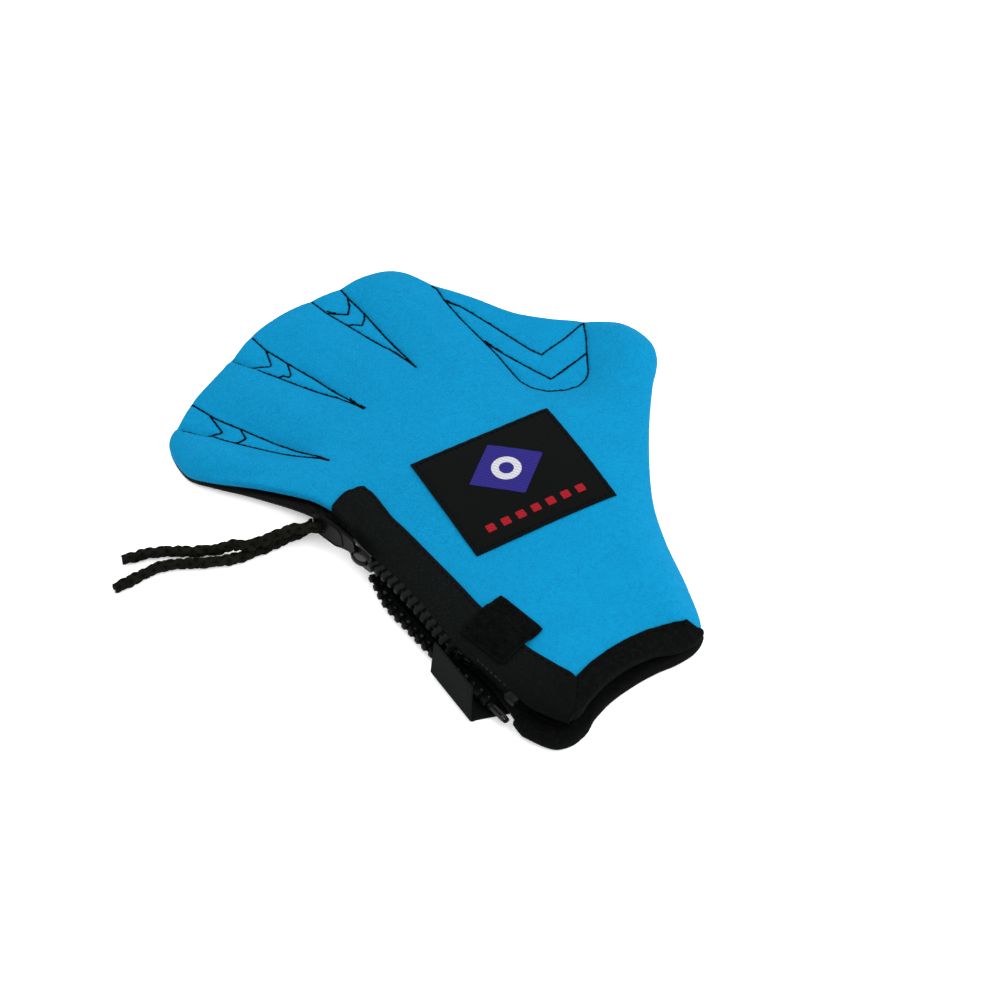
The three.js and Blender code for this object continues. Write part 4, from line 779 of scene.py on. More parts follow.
MAT = {
    "blue": make_blue(),
    "palm": make_palm(),
    "lining": make_jersey("black_lining", (0.003, 0.0033, 0.0034)),
    "binding": make_jersey("black_jersey_binding", (0.0017, 0.0021, 0.0018), 0.55, 0.42),
    "tape": make_tape(),
    "teeth": make_plastic("black_moulded_teeth", (0.0015, 0.0019, 0.0018), 0.42, 0.03, 0.07),
    # a lighter, glossier copy of the teeth's plastic: painted glint, for the bosses on the lower teeth and the rods of
    # the lower stop
    "teeth_painted_glint": make_plastic("moulded_teeth_painted_glint", (0.012, 0.0135, 0.0125), 0.4, 0.03, 0.16),
    "slider": make_plastic("black_enamelled_metal", (0.0009, 0.0012, 0.0011), 0.26, 0.02, 0.1),
    "puller": make_plastic("black_moulded_puller", (0.0009, 0.0011, 0.001), 0.4, 0.03, 0.04),
    "cord": make_fibre("black_cord_yarn", (0.0052, 0.0055, 0.0038), 0.8, 0.35),
    "thread": make_fibre("black_thread", (0.0012, 0.0018, 0.003), 0.75, 0.3),
    # pale grey: painted highlight for the dashes along the upper tape's fold
    "painted_highlight_dashes": make_fibre("grey_painted_highlight", (0.05, 0.055, 0.055), 0.6, 0.25),
    "blue_thread": make_fibre("blue_thread", times(BLUE, 0.55), 0.75, 0.2),
    "strap": make_weave("grey_hook_tape_back", (0.0045, 0.006, 0.0049), 0.7, 0.7, 0.1, 0.04, 0.018),
    "hooks": make_plastic("black_nylon_hooks", (0.0026, 0.003, 0.0026), 0.45, 0.03, 0.06),
    "pile": make_fibre("black_loop_pile", (0.0036, 0.0044, 0.004), 0.88, 0.6, 1100),
    "patch": make_weave("black_patch_ground", (0.003, 0.0037, 0.0035), 0.6, 0.8),
    "label": make_weave("black_label_satin", (0.0018, 0.0027, 0.0025), 0.42, 0.6),
    "label_blue": make_weave("royal_blue_threads", (0.02, 0.0155, 0.14), 0.5, 0.6),
    "label_white": make_weave("white_threads", (0.42, 0.42, 0.45), 0.5, 0.65),
    "label_red": make_weave("red_threads", (0.24, 0.008, 0.014), 0.5, 0.65),
}

# ---------------------------------------------------------------- camera, floor and light
aim = np.array([10.1, -9.44, 0]) * MM
eye = np.array([-222.6, -508.54, 680]) * MM
cam = bpy.data.cameras.new("photo_camera")
cam.lens, cam.sensor_width, cam.clip_start = 75.6, 36, 0.01
camera = bpy.data.objects.new("photo_camera", cam)
camera.location = eye
camera.rotation_euler = Vector(aim - eye).to_track_quat("-Z", "Y").to_euler()
bpy.context.collection.objects.link(camera)
bpy.context.scene.camera = camera


def light(name, at, size, power, colour=(1, 1, 1)):
    d = bpy.data.lights.new(name, "AREA")
    d.shape, d.size, d.energy, d.color = "DISK", size, power, colour
    o = bpy.data.objects.new(name, d)
    o.location = at
    o.rotation_euler = Vector(aim - np.array(at)).to_track_quat("-Z", "Y").to_euler()
    bpy.context.collection.objects.link(o)


light("key", (0.5, -0.3, 0.62), 0.9, 5.4)
light("fill", (-0.3, 0.8, 1.0), 1.2, 5.0)
world = bpy.data.worlds.new("studio")
world.use_nodes = True
world.node_tree.nodes["Background"].inputs[0].default_value = (1, 1, 1, 1)
world.node_tree.nodes["Background"].inputs[1].default_value = 1.18
bpy.context.scene.world = world
bpy.context.scene.view_settings.view_transform = "Standard"

floor_mesh = bpy.data.meshes.new("floor")
floor_mesh.from_pydata([(-3, -3, -0.0001), (3, -3, -0.0001), (3, 3, -0.0001), (-3, 3, -0.0001)], [], [(0, 1, 2, 3)])
floor_look = Shader("pale_floor", 0.7)
floor_look.base((0.93, 0.93, 0.93))
floor_look.b.inputs["Emission Color"].default_value = (1, 1, 1, 1)
floor_look.b.inputs["Emission Strength"].default_value = 0.3
floor_mesh.materials.append(floor_look.m)
floor_obj = bpy.data.objects.new("floor", floor_mesh)
bpy.context.collection.objects.link(floor_obj)


# ---------------------------------------------------------------- the two legs of the braided cord
def braided(name, rows, replaced, phase, root=()):
    path = curved(list(root) + list(rows), 0.55)
    t, n, b = frames(path)
    s = np.concatenate([[0], np.cumsum(np.linalg.norm(np.diff(path, axis=0), axis=1))])
    mesh = Mesh()
    thin_end = 1 - 0.14 * smooth(s[-1] - 5, s[-1], s)
    tube(mesh, path, 1.45 * thin_end, 10, 0, ends=0.9)
    turn, strands = 15.5, 3
    for way in (1, -1):
        for k in range(strands):
            a = way * (2 * math.pi * s / turn) + 2 * math.pi * k / strands + phase
            over = np.cos(strands * 2 * math.pi * s / turn + (0 if way > 0 else math.pi) + k * math.pi)
            over = over + 0.5 * np.sin(s * 0.9 + 2.1 * k + way)
            r = (1.72 + 0.3 * over) * thin_end
            p = path + n * (r * np.cos(a))[:, None] + b * (r * np.sin(a))[:, None]
            out = n * np.cos(a)[:, None] + b * np.sin(a)[:, None]
            tube(mesh, p, 0.92 * (1 + 0.12 * np.sin(s * 1.7 + k * 2 + way)), 6, 0, flat=(1.12, 0.66), ends=0.8, up=out)
    # loose fibres, most at the cut end
    for _ in range(150):
        u = s[-1] * (1 - RNG.random() ** 2.2)
        i = int(np.clip(np.searchsorted(s, u), 1, len(s) - 2))
        a = RNG.random() * 6.283
        out = n[i] * math.cos(a) + b[i] * math.sin(a)
        go = out * (0.3 + 0.5 * RNG.random()) + t[i] * (0.9 * RNG.normal() + (1.0 if u > s[-1] - 2 else 0))
        p0 = path[i] + out * 2.05 * thin_end[i]
        q = np.array([p0, p0 + go * 0.45, p0 + go * (0.75 + 0.3 * RNG.random())])
        if q[:, 2].min() > 0.1:
            tube(mesh, q, 0.06, 3, 0)
    o = mesh.object(name, [MAT["cord"]], "cord_braid", 60)
    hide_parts(replaced)
    steps = along(path, length_of(path) / 30)
    return o


braided("braided_leg_a", LEG_A, "pull_cord_a", 0.2)
braided("braided_leg_b", LEG_B, "pull_cord_b", 0.9, [(-76.9, 16.4, 6.2), (-78.3, 17, 4.4)])


# ---------------------------------------------------------------- back of the hand
PROUD = [  # where a finger swells out over the web beside it: a line, and a point on the web's side
    ([(-108.7, 87.9), (-103.5, 82.5), (-99.7, 79.3)], (-98, 90)),
    ([(-75.1, 116.5), (-69.3, 108.9)], (-62, 118)),
]


def proud(xy):
    """How much deeper the web lies just beside a swollen finger."""
    z = np.zeros(len(xy))
    for line, (wx, wy) in PROUD:
        d = np.min([seg_distance(xy, a, b) for a, b in zip(line[:-1], line[1:])], 0)
        (ax, ay), (bx, by) = line[0], line[-1]
        side = ((bx - ax) * (xy[:, 1] - ay) - (by - ay) * (xy[:, 0] - ax)) * ((bx - ax) * (wy - ay) - (by - ay) * (wx - ax))
        z = z + np.where(side > 0, 0.9 * np.exp(-((d / 2.2) ** 2)), 0.9 * np.exp(-((d / 0.5) ** 2)) - 0.5 * np.exp(-(((d - 3) / 2.2) ** 2)))
    return z


def groove(xy):
    d = seam_distance(xy)
    return 0.6 * np.exp(-((d / 0.75) ** 2)) + 0.45 * np.exp(-((d / 3) ** 2)) + proud(xy)


def cloth_noise(xy, amp=0.12):
    x, y = xy[:, 0], xy[:, 1]
    return amp * (np.sin(x * 0.13 + 1.3 * np.sin(y * 0.07)) * np.sin(y * 0.11 + 0.8 * np.sin(x * 0.05)) + 0.5 * np.sin(x * 0.31 + y * 0.23))


EDGE_R = 1.7


def back_top(x, y):
    """The visible top of the back sheet at (x, y)."""
    xy = np.column_stack([np.atleast_1d(x), np.atleast_1d(y)]).astype(float)
    s = np.clip(SIDE(xy[:, 0], xy[:, 1]), 0, EDGE_R)
    roll = EDGE_R - np.sqrt(np.maximum(0, EDGE_R**2 - (EDGE_R - s) ** 2))
    return OUTER(xy[:, 0], xy[:, 1]) - roll - groove(xy) + cloth_noise(xy) * smooth(2, 12, SIDE(xy[:, 0], xy[:, 1]))


def back_panel():
    loop = BACK.p
    extra = [rings(BACK, [0.18, 0.5, 0.95, 1.5, 2.2])]
    for line in SEAMS.values():
        p = along(line, 0.6)
        d = np.gradient(p, axis=0)
        d /= np.linalg.norm(d, axis=1)[:, None]
        side = np.stack([-d[:, 1], d[:, 0]], 1)
        for o in (0, 0.45, -0.45, 0.95, -0.95, 1.6, -1.6, 2.6, -2.6):
            extra.append(p + side * o)
    extra = np.vstack(extra)
    extra = extra[inside(loop, extra)]
    near = BACK.near(extra)[:, 0]
    extra = thin(extra[near > 0.12], 0.42)
    g = hex_grid(1.9, loop)
    g = g[(SIDE(g[:, 0], g[:, 1]) > 3.0) & (seam_distance(g) > 3.2)]
    pts, tri = triangulate(loop, np.vstack([extra, g]))
    n = len(loop)
    top = back_top(pts[:, 0], pts[:, 1])
    top[:n] = OUTER(loop[:, 0], loop[:, 1]) - EDGE_R
    coarse, tri2 = triangulate(loop, (lambda q: q[SIDE(q[:, 0], q[:, 1]) > 3])(hex_grid(5, loop)))
    low = INNER(coarse[:, 0], coarse[:, 1])
    mid = (top[:n] + low[:n]) / 2 - 0.1
    m = len(pts)
    v = np.vstack([np.column_stack([pts, top]), np.column_stack([coarse, low]), np.column_stack([loop - BACK.n * 0.12, mid])])
    f = [tuple(t) for t in tri] + [tuple(m + i for i in t[::-1]) for t in tri2]
    idx = [0] * len(tri) + [1] * len(tri2)
    k = m + len(coarse)
    for i in range(n):
        j = (i + 1) % n
        f += [(i, k + i, k + j, j), (k + i, m + i, m + j, k + j)]
        idx += [0, 0]
    o = new_object("back_of_hand", v, f, [MAT["blue"], MAT["lining"]], idx, v[:, :2] * 0.1, 70)
    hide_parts("back_panel")
    return o


back_panel()


# ---------------------------------------------------------------- palm
def palm_bottom(x, y):
    return palm_outer(np.column_stack([x, y]))[0][:, 2] + 0.35


def palm_panel():
    loop = PALM.p
    extra = [rings(PALM, [0.4, 0.9, 1.5, 2.2, 3.2, 4.4, 5.8, 7.4, 9.2])]
    extra = thin(extra[0], 0.8)
    g = hex_grid(4.2, loop)
    keep = PALM.near(g)[:, 0] > 10.5
    g = g[keep]
    pts, tri = triangulate(loop, np.vstack([extra, g]))
    low, r = palm_outer(pts)
    # the lower face's own normals carry the sheet's thickness
    nrm = np.zeros_like(low)
    a, b, c = low[tri[:, 0]], low[tri[:, 1]], low[tri[:, 2]]
    fn = np.cross(b - a, c - a)
    for k in range(3):
        np.add.at(nrm, tri[:, k], fn)
    nrm /= np.linalg.norm(nrm, axis=1)[:, None]
    up = low + nrm * SHEET
    d = np.maximum(0, r[:, 0])
    # a softly rounded outer edge
    roll = 1.2 - np.sqrt(np.maximum(0, 1.44 - (1.2 - np.clip(d, 0, 1.2)) ** 2))
    low = low + nrm * roll[:, None]
    n, m = len(loop), len(pts)
    v = np.vstack([low, up])
    f = [tuple(t[::-1]) for t in tri] + [tuple(m + i for i in t) for t in tri]
    row = r[:, 11]
    blue = (row > ROW["wrist_side_thumb"] + 0.25) & (row < ROW["little_tip"] + 0.2) & (d < 4.0)
    idx = [2 if blue[t].all() else 0 for t in tri] + [1] * len(tri)
    for i in range(n):
        j = (i + 1) % n
        f.append((i, j, m + j, m + i))
        idx.append(2 if blue[i] and blue[j] else 0)
    uv = np.vstack([pts, pts])
    o = new_object("palm_of_hand", v, f, [MAT["palm"], MAT["lining"], MAT["blue"]], idx, uv * MM, 70)
    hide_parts("palm_panel")
    return o


palm_panel()

# ---------------------------------------------------------------- sewing of the webs, seen on both sides
sewing = Mesh()
for line in SEAMS.values():
    stitches(sewing, line, back_top, radius=0.4, long=2.7, gap=-0.15, sink=0.04, wobble=0.07, dip=0.75)
for a, b in BACKTACKS:
    stitches(sewing, [np.add(a, (0.3, 0.22)), np.add(b, (0.3, 0.22))], back_top, radius=0.3, long=2.2, gap=0.0, dip=0.9)
sewing.object("web_sewing_back", [MAT["thread"]], "black_neoprene", 60)
under = Mesh()
for line in SEAMS.values():
    inner = [p for p in along(line, 1.5) if PALM.near(np.array([p]))[0, 0] > 1.2]
    if len(inner) > 3:
        stitches(under, inner, lambda x, y: np.maximum(palm_bottom(x, y) - 0.35, 0.45), radius=0.26, long=2.7, gap=0.15, sink=0.0, below=True, wobble=0.07, dip=0.9)
under.object("web_sewing_palm", [MAT["thread"]], "black_neoprene", 60)


# ---------------------------------------------------------------- the lines of the tapes
def tape_lines(rows, q):
    r = np.array(rows, float)
    return catmull(r[:, :2], q), catmull(r[:, 2:5], q)


def tape_corner(rows, q, a):
    """The upper tape is cut square at its finger end, where the curve would round it."""
    r = np.array(rows, float)
    straight = np.stack([np.interp(q, np.arange(len(r)), r[:, k]) for k in range(2)], 1)
    w = np.exp(-(((q - 3) / 0.33) ** 2))[:, None]
    return a * (1 - w) + straight * w


UP_Q = np.linspace(0, len(TAPE_UP) - 1, 240)
UP_A, UP_B = tape_lines(TAPE_UP, UP_Q)
UP_POLY = np.vstack([UP_A, UP_B[::-1, :2]])


# ---------------------------------------------------------------- wrist binding
def stations(rim, a, b, step):
    q = np.arange(a, b + 1e-6, step)
    n = len(RIM)
    row = np.append(rim.row, n)
    wrap = lambda arr: np.vstack([arr, arr[:1]])
    qq = q % n
    p = np.stack([np.interp(qq, row, wrap(rim.p)[:, k]) for k in range(2)], 1)
    nn = np.stack([np.interp(qq, row, wrap(rim.n)[:, k]) for k in range(2)], 1)
    nn /= np.linalg.norm(nn, axis=1)[:, None]
    return q, p, nn


def binding():
    mesh = Mesh()
    n = len(RIM)

    def run(rim, a, b, faces, name):
        q, p, nn = stations(rim, a, b, 0.08)
        width = 8.4 * mix(1, 0.7, smooth(n - 1.2, n + 0.4, q)) * mix(1, 0.12, smooth(n + 0.3, n + 0.8, q))
        prof = [1, 0.985, 0.93, 0.86, 0.8, 0.74, 0.64, 0.52, 0.4, 0.28, 0.18, 0.1, 0.04]
        over = [0.2, 0.75, 0.95, 0.7, 0.48, 0.8, 1.0, 1.05, 1.08, 1.1, 1.12, 1.12, 1.1]
        top, low = [], []
        for f, g in zip(prof, over):
            wob = 0.1 * np.sin(q * 9.0 + f * 5) + 0.07 * np.sin(q * 21.0 + f * 11)
            z0, z1 = faces(p + nn * (width * f)[:, None])
            x = p + nn * (width * f + 0.02)[:, None]
            if name == "up":  # pressed flat where it passes under the zip tape
                d = np.min([seg_distance(x, a_, b_) for a_, b_ in zip(UP_A[:-1:3], UP_A[3::3])], 0)
                under = np.where(inside(UP_POLY, x), 1 - 0.94 * smooth(0, 0.8, d), 1.0)
            else:
                under = 1.0
            top.append(np.column_stack([x, z0 + np.where(under < 1, 0.06, GAP) * 1.0 + (g + wob * (0.3 + g)) * under]))
            low.append(np.column_stack([x, z1 - GAP - g * 0.9]))
        z0, z1 = faces(p)
        nose = []
        for ang in np.linspace(70, -70, 8):
            c, s_ = math.cos(math.radians(ang)), math.sin(math.radians(ang))
            h = (z0 - z1) / 2 + GAP + 1.0
            nose.append(np.column_stack([p - nn * (0.25 + 1.15 * c), (z0 + z1) / 2 + h * s_]))
        outer = np.array(top + nose + low[::-1])
        # inner side of the fold
        inn = []
        for f in prof:
            z0, z1 = faces(p + nn * (width * f)[:, None])
            inn.append((p + nn * (width * f + 0.02)[:, None], z0, z1))
        it = [np.column_stack([x, a_ + GAP * 0.5]) for x, a_, _ in inn]
        il = [np.column_stack([x, c_ - GAP * 0.5]) for x, _, c_ in inn]
        z0, z1 = faces(p)
        nose_in = [np.column_stack([p - nn * 0.1, z0 * (0.5 + k) + z1 * (0.5 - k)]) for k in np.linspace(0.5, -0.5, 8)]
        inner = np.array(it + nose_in + il[::-1])
        v, f = grid_plate(outer.transpose(1, 0, 2), inner.transpose(1, 0, 2))
        mesh.add(v, f, 0, v[:, :2] * 0.1)
        return q, p, nn, width

    def back_faces(xy):
        return OUTER(xy[:, 0], xy[:, 1]), INNER(xy[:, 0], xy[:, 1])

    def palm_faces(xy):
        lo = palm_outer(xy)[0][:, 2]
        return lo + SHEET, lo

    q, p, nn, width = run(BACK, ROW["wrist_corner_end"] - 0.4, n + 0.8, back_faces, "up")
    line = p + nn * (width * 0.8)[:, None]
    line = line[~inside(UP_POLY, line)]
    stitches(mesh, line[2:-2], lambda x, y: OUTER(x, y) + GAP + 0.5, radius=0.26, long=2.4, gap=0.6, mat=1)
    run(PALM, ROW["wrist_corner_side"] - 0.4, n + 0.8, palm_faces, "low")
    o = mesh.object("wrist_hem", [MAT["binding"], MAT["thread"]], "black_jersey", 60)
    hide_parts("wrist_binding")


binding()


# ---------------------------------------------------------------- zip tapes and teeth
def tape_mid(rows, rim, height, q, across):
    a, b = tape_lines(rows, q)
    if rows is TAPE_UP:
        a = tape_corner(rows, q, a)
    f = np.linspace(0, 1, across + 1)
    xy = a[:, None, :] * (1 - f)[None, :, None] + b[:, None, :2] * f[None, :, None]
    flat = xy.reshape(-1, 2)
    side = rim.near(flat)[:, 0].reshape(len(q), -1)
    z = height(flat[:, 0], flat[:, 1]).reshape(len(q), -1)
    for i in range(len(q)):
        on = side[i] > 0
        on[0] = True
        last = np.nonzero(on)[0].max()
        if last < across:
            fe = f[last]
            g = (f[last + 1:] - fe) / (1 - fe)
            z[i, last + 1:] = mix(z[i, last], b[i, 2], smooth(0, 1, g) * 0.6 + 0.4 * g)
    return np.dstack([xy, z])


def dips(rows, q):
    r = np.array(rows, float)
    return np.radians(np.interp(q, np.arange(len(r)), r[:, 5]))


def off_edge(dip):
    """Where a tooth's middle lies off the tape's edge, outward and up."""
    out = GAP + 0.25 + TOOTH["wide"] / 2 * np.cos(dip) + TOOTH["high"] / 2 * np.sin(dip)
    return out, -TOOTH["wide"] / 2 * np.sin(dip) - FOLD_DROP * (1 - np.cos(dip)) / 2


def tape_piece(name, rows, rim, height, node, thread_side, span, reach=0.8):
    n = len(rows) - 1
    q = np.linspace(0, n, int(n * 11))
    mid = tape_mid(rows, rim, height, q, 22)
    # the edge that carries the teeth turns down and under with them
    a, b = tape_lines(rows, q)
    out = b[:, :2] - a
    out /= np.linalg.norm(out, axis=1)[:, None]
    out3, upz = np.column_stack([out, np.zeros(len(q))]), np.array([0, 0, 1.0])
    dip = dips(rows, q)
    on = smooth(span[0] - 0.08, span[0], q) * (1 - smooth(span[1] + 0.02, span[1] + 0.12, q))
    ax, az = off_edge(dip)
    rx, rz = (ax - 2.3 * np.cos(dip)) * on + 0.002, (az + 2.3 * np.sin(dip)) * on
    cx, cz = np.maximum(rx, 0.5 * on) + 0.35 * np.sin(dip / 2) * on, rz * 0.3
    tx, tz = (ax - reach * np.cos(dip)) * on + 0.004, (az + reach * np.sin(dip)) * on
    more = []
    for t in (0.25, 0.5, 0.75, 1.0, 2.0):
        X, Z = (2 * t * (1 - t) * cx + t * t * rx, 2 * t * (1 - t) * cz + t * t * rz) if t <= 1 else (tx, tz)
        X = X + 0.02 * t * (1 - on)
        more.append((b + out3 * X[:, None] + upz * Z[:, None])[:, None, :])
    mid = np.concatenate([mid] + more, 1)
    cols = mid.shape[1]
    # the grid's normals
    gu, gv = np.gradient(mid, axis=0), np.gradient(mid, axis=1)
    nr = np.cross(gu, gv)
    size = np.linalg.norm(nr, axis=2)
    nr /= np.maximum(size, 1e-9)[..., None]
    nr[:, 0][nr[:, 0, 2] < 0] *= -1
    for k in range(1, cols):
        flip = (nr[:, k] * nr[:, k - 1]).sum(1) < 0
        nr[flip, k] *= -1
        weak = size[:, k] < 1e-3
        nr[weak, k] = nr[weak, k - 1]
    s = np.concatenate([[0], np.cumsum(np.linalg.norm(np.diff(mid[:, 11], axis=0), axis=1))])
    w = np.linalg.norm(mid[:, 22] - mid[:, 0], axis=1)
    thick = TAPE / 2 * np.concatenate([np.ones(23), np.linspace(0.95, 0.7, 5)])[None, :, None]
    v, f = grid_plate(mid + nr * thick, mid - nr * thick)
    uu = np.repeat(s, cols)
    vv = (np.concatenate([np.linspace(0, 1, 23), 1 + np.linspace(0.04, 0.2, 5)])[None, :] * np.maximum(w, 6)[:, None]).ravel()
    uv = np.stack([uu, vv], 1) * 0.01
    mesh = Mesh()
    mesh.add(v, f, 0, np.vstack([uv, uv]))
    if thread_side:
        top = lambda x, y: height(x, y) + TAPE / 2
        a, b = tape_lines(rows, q[3:][q[3:] < n - 2.05])
        dirn = b[:, :2] - a
        L = np.linalg.norm(dirn, axis=1)[:, None]
        stitches(mesh, a + dirn / L * 1.6, top, radius=0.24, long=2.2, gap=0.8, mat=1, sink=0.05)
        # painted highlight: pale grey dashes along the fold beside the square, standing in for light caught on the
        # tape's edge
        k = (q > 9.75) & (q < 11.2)
        fold = along((mid[:, 22] + nr[:, 22] * 0.62)[k], 1.25)
        for i in range(0, len(fold) - 1, 2):
            tube(mesh, fold[i:i + 2], 0.17, 5, 2)
    # the cord woven into the edge that the teeth hold
    on = (q > span[0] - 0.1) & (q < len(rows) - 1.4 if thread_side else q < span[1] + 0.15)
    edge = (mid[:, 22] + nr[:, 22] * 0.1 - out3 * 0.35)[on]
    bead = along(edge, 0.5)
    tube(mesh, bead, 0.52, 8, 0, ends=0.6)
    o = mesh.object(name, [MAT["tape"], MAT["thread"], MAT["painted_highlight_dashes"]], "black_tape", 50)
    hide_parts(node)
    return mid


UP_MID = tape_piece("upper_zip_tape", TAPE_UP, BACK, lambda x, y: OUTER(x, y) + LAY + TAPE / 2, "zipper_tape_upper", True, TEETH_ROWS["up"])
LOW_MID = tape_piece("lower_zip_tape", TAPE_LOW, PALM, lambda x, y: palm_outer(np.column_stack([x, y]))[0][:, 2] - LAY - TAPE / 2 + 0.05, "zipper_tape_lower", False, TEETH_ROWS["low"], -1.5)


def block(w, l, h, bevel, prof=None):
    """A moulded block with soft edges: (profile across, along, up)."""
    prof = prof or [(-w, -l * 0.8), (w * 0.55, -l * 0.9), (w, -l * 0.5), (w, l * 0.5), (w * 0.55, l * 0.9), (-w, l * 0.8)]
    v, f = [], []
    levels = [(-h, bevel), (-h + bevel, 0), (h - bevel, 0), (h - bevel * 0.3, bevel * 0.3), (h, bevel)]
    for z, inset in levels:
        for x, y in prof:
            v.append((x * (1 - inset / w), y * (1 - inset / l), z))
    k = len(prof)
    for a in range(len(levels) - 1):
        for j in range(k):
            f.append((a * k + j, a * k + (j + 1) % k, (a + 1) * k + (j + 1) % k, (a + 1) * k + j))
    f.append(tuple(range(k))[::-1])
    f.append(tuple(range((len(levels) - 1) * k, len(levels) * k)))
    return np.array(v), f


def knob(r, high, n=10):
    """A low round boss on the face of a tooth."""
    v, f = [], []
    for z, k in ((-0.5, 1), (high * 0.45, 1), (high * 0.85, 0.75), (high, 0.35)):
        for j in range(n):
            a = 2 * math.pi * j / n
            v.append((r * k * math.cos(a), r * k * math.sin(a), z))
    for a in range(3):
        for j in range(n):
            f.append((a * n + j, a * n + (j + 1) % n, (a + 1) * n + (j + 1) % n, (a + 1) * n + j))
    f.append(tuple(range(n))[::-1])
    f.append(tuple(range(3 * n, 4 * n)))
    return np.array(v), f


def teeth(name, rows, span, node, stop, stop_node, stop_size, lower):
    q = np.linspace(*span, 400)
    a, b = tape_lines(rows, q)
    dip = dips(rows, q)
    out = b[:, :2] - a
    out /= np.linalg.norm(out, axis=1)[:, None]
    off, drop = off_edge(dip)
    line = b + np.column_stack([out * off[:, None], drop])
    s0 = np.concatenate([[0], np.cumsum(np.linalg.norm(np.diff(line, axis=0), axis=1))])
    L = s0[-1]
    s = np.linspace(0, L, int(L / 0.1))
    line = np.stack([np.interp(s, s0, line[:, c]) for c in range(3)], 1)
    dip = np.interp(s, s0, dip)
    count = int(round(L / TOOTH["pitch"]))
    mesh = Mesh()
    w_, l_, h_ = TOOTH["wide"] / 2, TOOTH["long"] / 2, TOOTH["high"] / 2
    v0, f0 = block(w_, l_, h_, 0.38)
    head, hf = block(0.95, l_ * 0.86, 0.32, 0.16, [(-0.95, -1.2), (0.6, -1.3), (0.95, -0.7), (0.95, 0.7), (0.6, 1.3), (-0.95, 1.2)])
    boss, bf = knob(0.62, 0.42)
    tan = np.gradient(line, axis=0)

    def basis(i):
        t = tan[i] / np.linalg.norm(tan[i])
        side = np.array([-t[1], t[0], 0])
        side /= np.linalg.norm(side)
        up = np.cross(side, t)
        up /= np.linalg.norm(up)
        if up[2] < 0:
            up = -up
        return t, side, up

    for k in range(count + 1):
        i = min(len(line) - 1, int(round(k / count * (len(line) - 1))))
        t, side, up = basis(i)
        across = -side * math.cos(dip[i]) - up * math.sin(dip[i])
        lift = up * math.cos(dip[i]) - side * math.sin(dip[i])
        m = np.stack([across, t, lift])
        size = 1 + RNG.normal(0, 0.012)
        w = v0 * size @ m + line[i]
        mesh.add(w, outward(w, f0))
        # the raised head of the tooth, at its free end, and round bosses on the lower row; the first boss takes the
        # lighter copy of the plastic, a painted glint on the tooth's rounded head
        w = head @ m + line[i] + across * (w_ - 1.25) + lift * (h_ + 0.1)
        mesh.add(w, outward(w, hf))
        if lower:
            for along_, off_, painted_glint in ((0.1, -1.1, 1), (-0.5, 0.9, 0)):
                w = boss * (1 + 0.2 * RNG.normal()) @ m + line[i] + across * (off_ + 0.15 * RNG.normal()) + t * along_ + lift * (h_ + 0.05 + 0.25 * (1 - painted_glint))
                mesh.add(w, outward(w, bf), painted_glint)
    tube(mesh, line[::3], 0.7, 8)
    o = mesh.object(name, [MAT["teeth"], MAT["teeth_painted_glint"]], "moulded_teeth", 40)
    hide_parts(node)
    t, side, up = basis(-1)
    t0, long, wide, high = stop_size
    last = line[-1]
    if not lower:
        t = (b[-1] - b[-2]) / np.linalg.norm(b[-1] - b[-2])
        side = np.array([-t[1], t[0], 0]) / np.hypot(t[0], t[1])
        up = np.cross(side, t)
        up = up if up[2] > 0 else -up
        last = b[-1] + np.append(out[-1], 0) * (GAP + 0.25 + wide / 2)
    m2 = Mesh()
    if lower:  # a bent rod folded back on itself, with a small block at its foot; the ball where it is cut is not modelled
        # the two straight rods take the lighter copy of the plastic: painted highlight lines along them
        for x in (-0.8, 0.8):
            rod = np.array([(x, -long / 2 + 0.7, 0), (x * 1.04, 0, 0.12), (x, long / 2 - 0.9, 0)])
            w = curved(rod, 0.5) @ np.stack([side, t, up]) + line[-1] + t * (t0 + long / 2)
            tube(m2, w, 0.78, 8, 1, ends=0.7)
        turn = np.array([(0.8 * math.cos(g), long / 2 - 0.9 + 0.75 * math.sin(g), 0) for g in np.linspace(0, math.pi, 9)])
        w = turn @ np.stack([side, t, up]) + line[-1] + t * (t0 + long / 2)
        tube(m2, w, 0.76, 8, ends=0.7)
        v, f = block(1.5, 0.9, 1.1, 0.4, [(-1.5, -0.9), (1.5, -0.9), (1.5, 0.9), (-1.5, 0.9)])
        w = v @ np.stack([side, t, up]) + line[-1] + t * (t0 + 0.95)
        m2.add(w, outward(w, f))
    else:
        e = 0.45
        v, f = [], []
        for z, inset in ((-high / 2, e), (-high / 2 + e, 0), (high / 2 - e, 0), (high / 2, e)):
            for x, y in ((-1, -1), (1, -1), (1, 1), (-1, 1)):
                for dx, dy in (((0, e), (e, 0)) if x * y > 0 else ((e, 0), (0, e))):
                    v.append(((wide / 2 - inset - dx) * x, (long / 2 - inset - dy) * y, z))
        v = np.array(v)
        for r in range(3):
            for j in range(8):
                f.append((r * 8 + j, r * 8 + (j + 1) % 8, (r + 1) * 8 + (j + 1) % 8, (r + 1) * 8 + j))
        f += [tuple(range(8))[::-1], tuple(range(24, 32))]
        w = v @ np.stack([side, t, up]) + last + t * (t0 + long / 2)
        m2.add(w, outward(w, f))
    o = m2.object(stop, [MAT["teeth"], MAT["teeth_painted_glint"]], "moulded_teeth", 40)
    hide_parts(stop_node)


teeth("upper_teeth", TAPE_UP, TEETH_ROWS["up"], "zipper_teeth_upper", "upper_stop", "stop_upper", (2.5, 5.2, 3.4, 3.2), False)
teeth("lower_teeth", TAPE_LOW, TEETH_ROWS["low"], "zipper_teeth_lower", "lower_stop", "stop_lower", (1.9, 10.4, 3.2, 2.6), True)


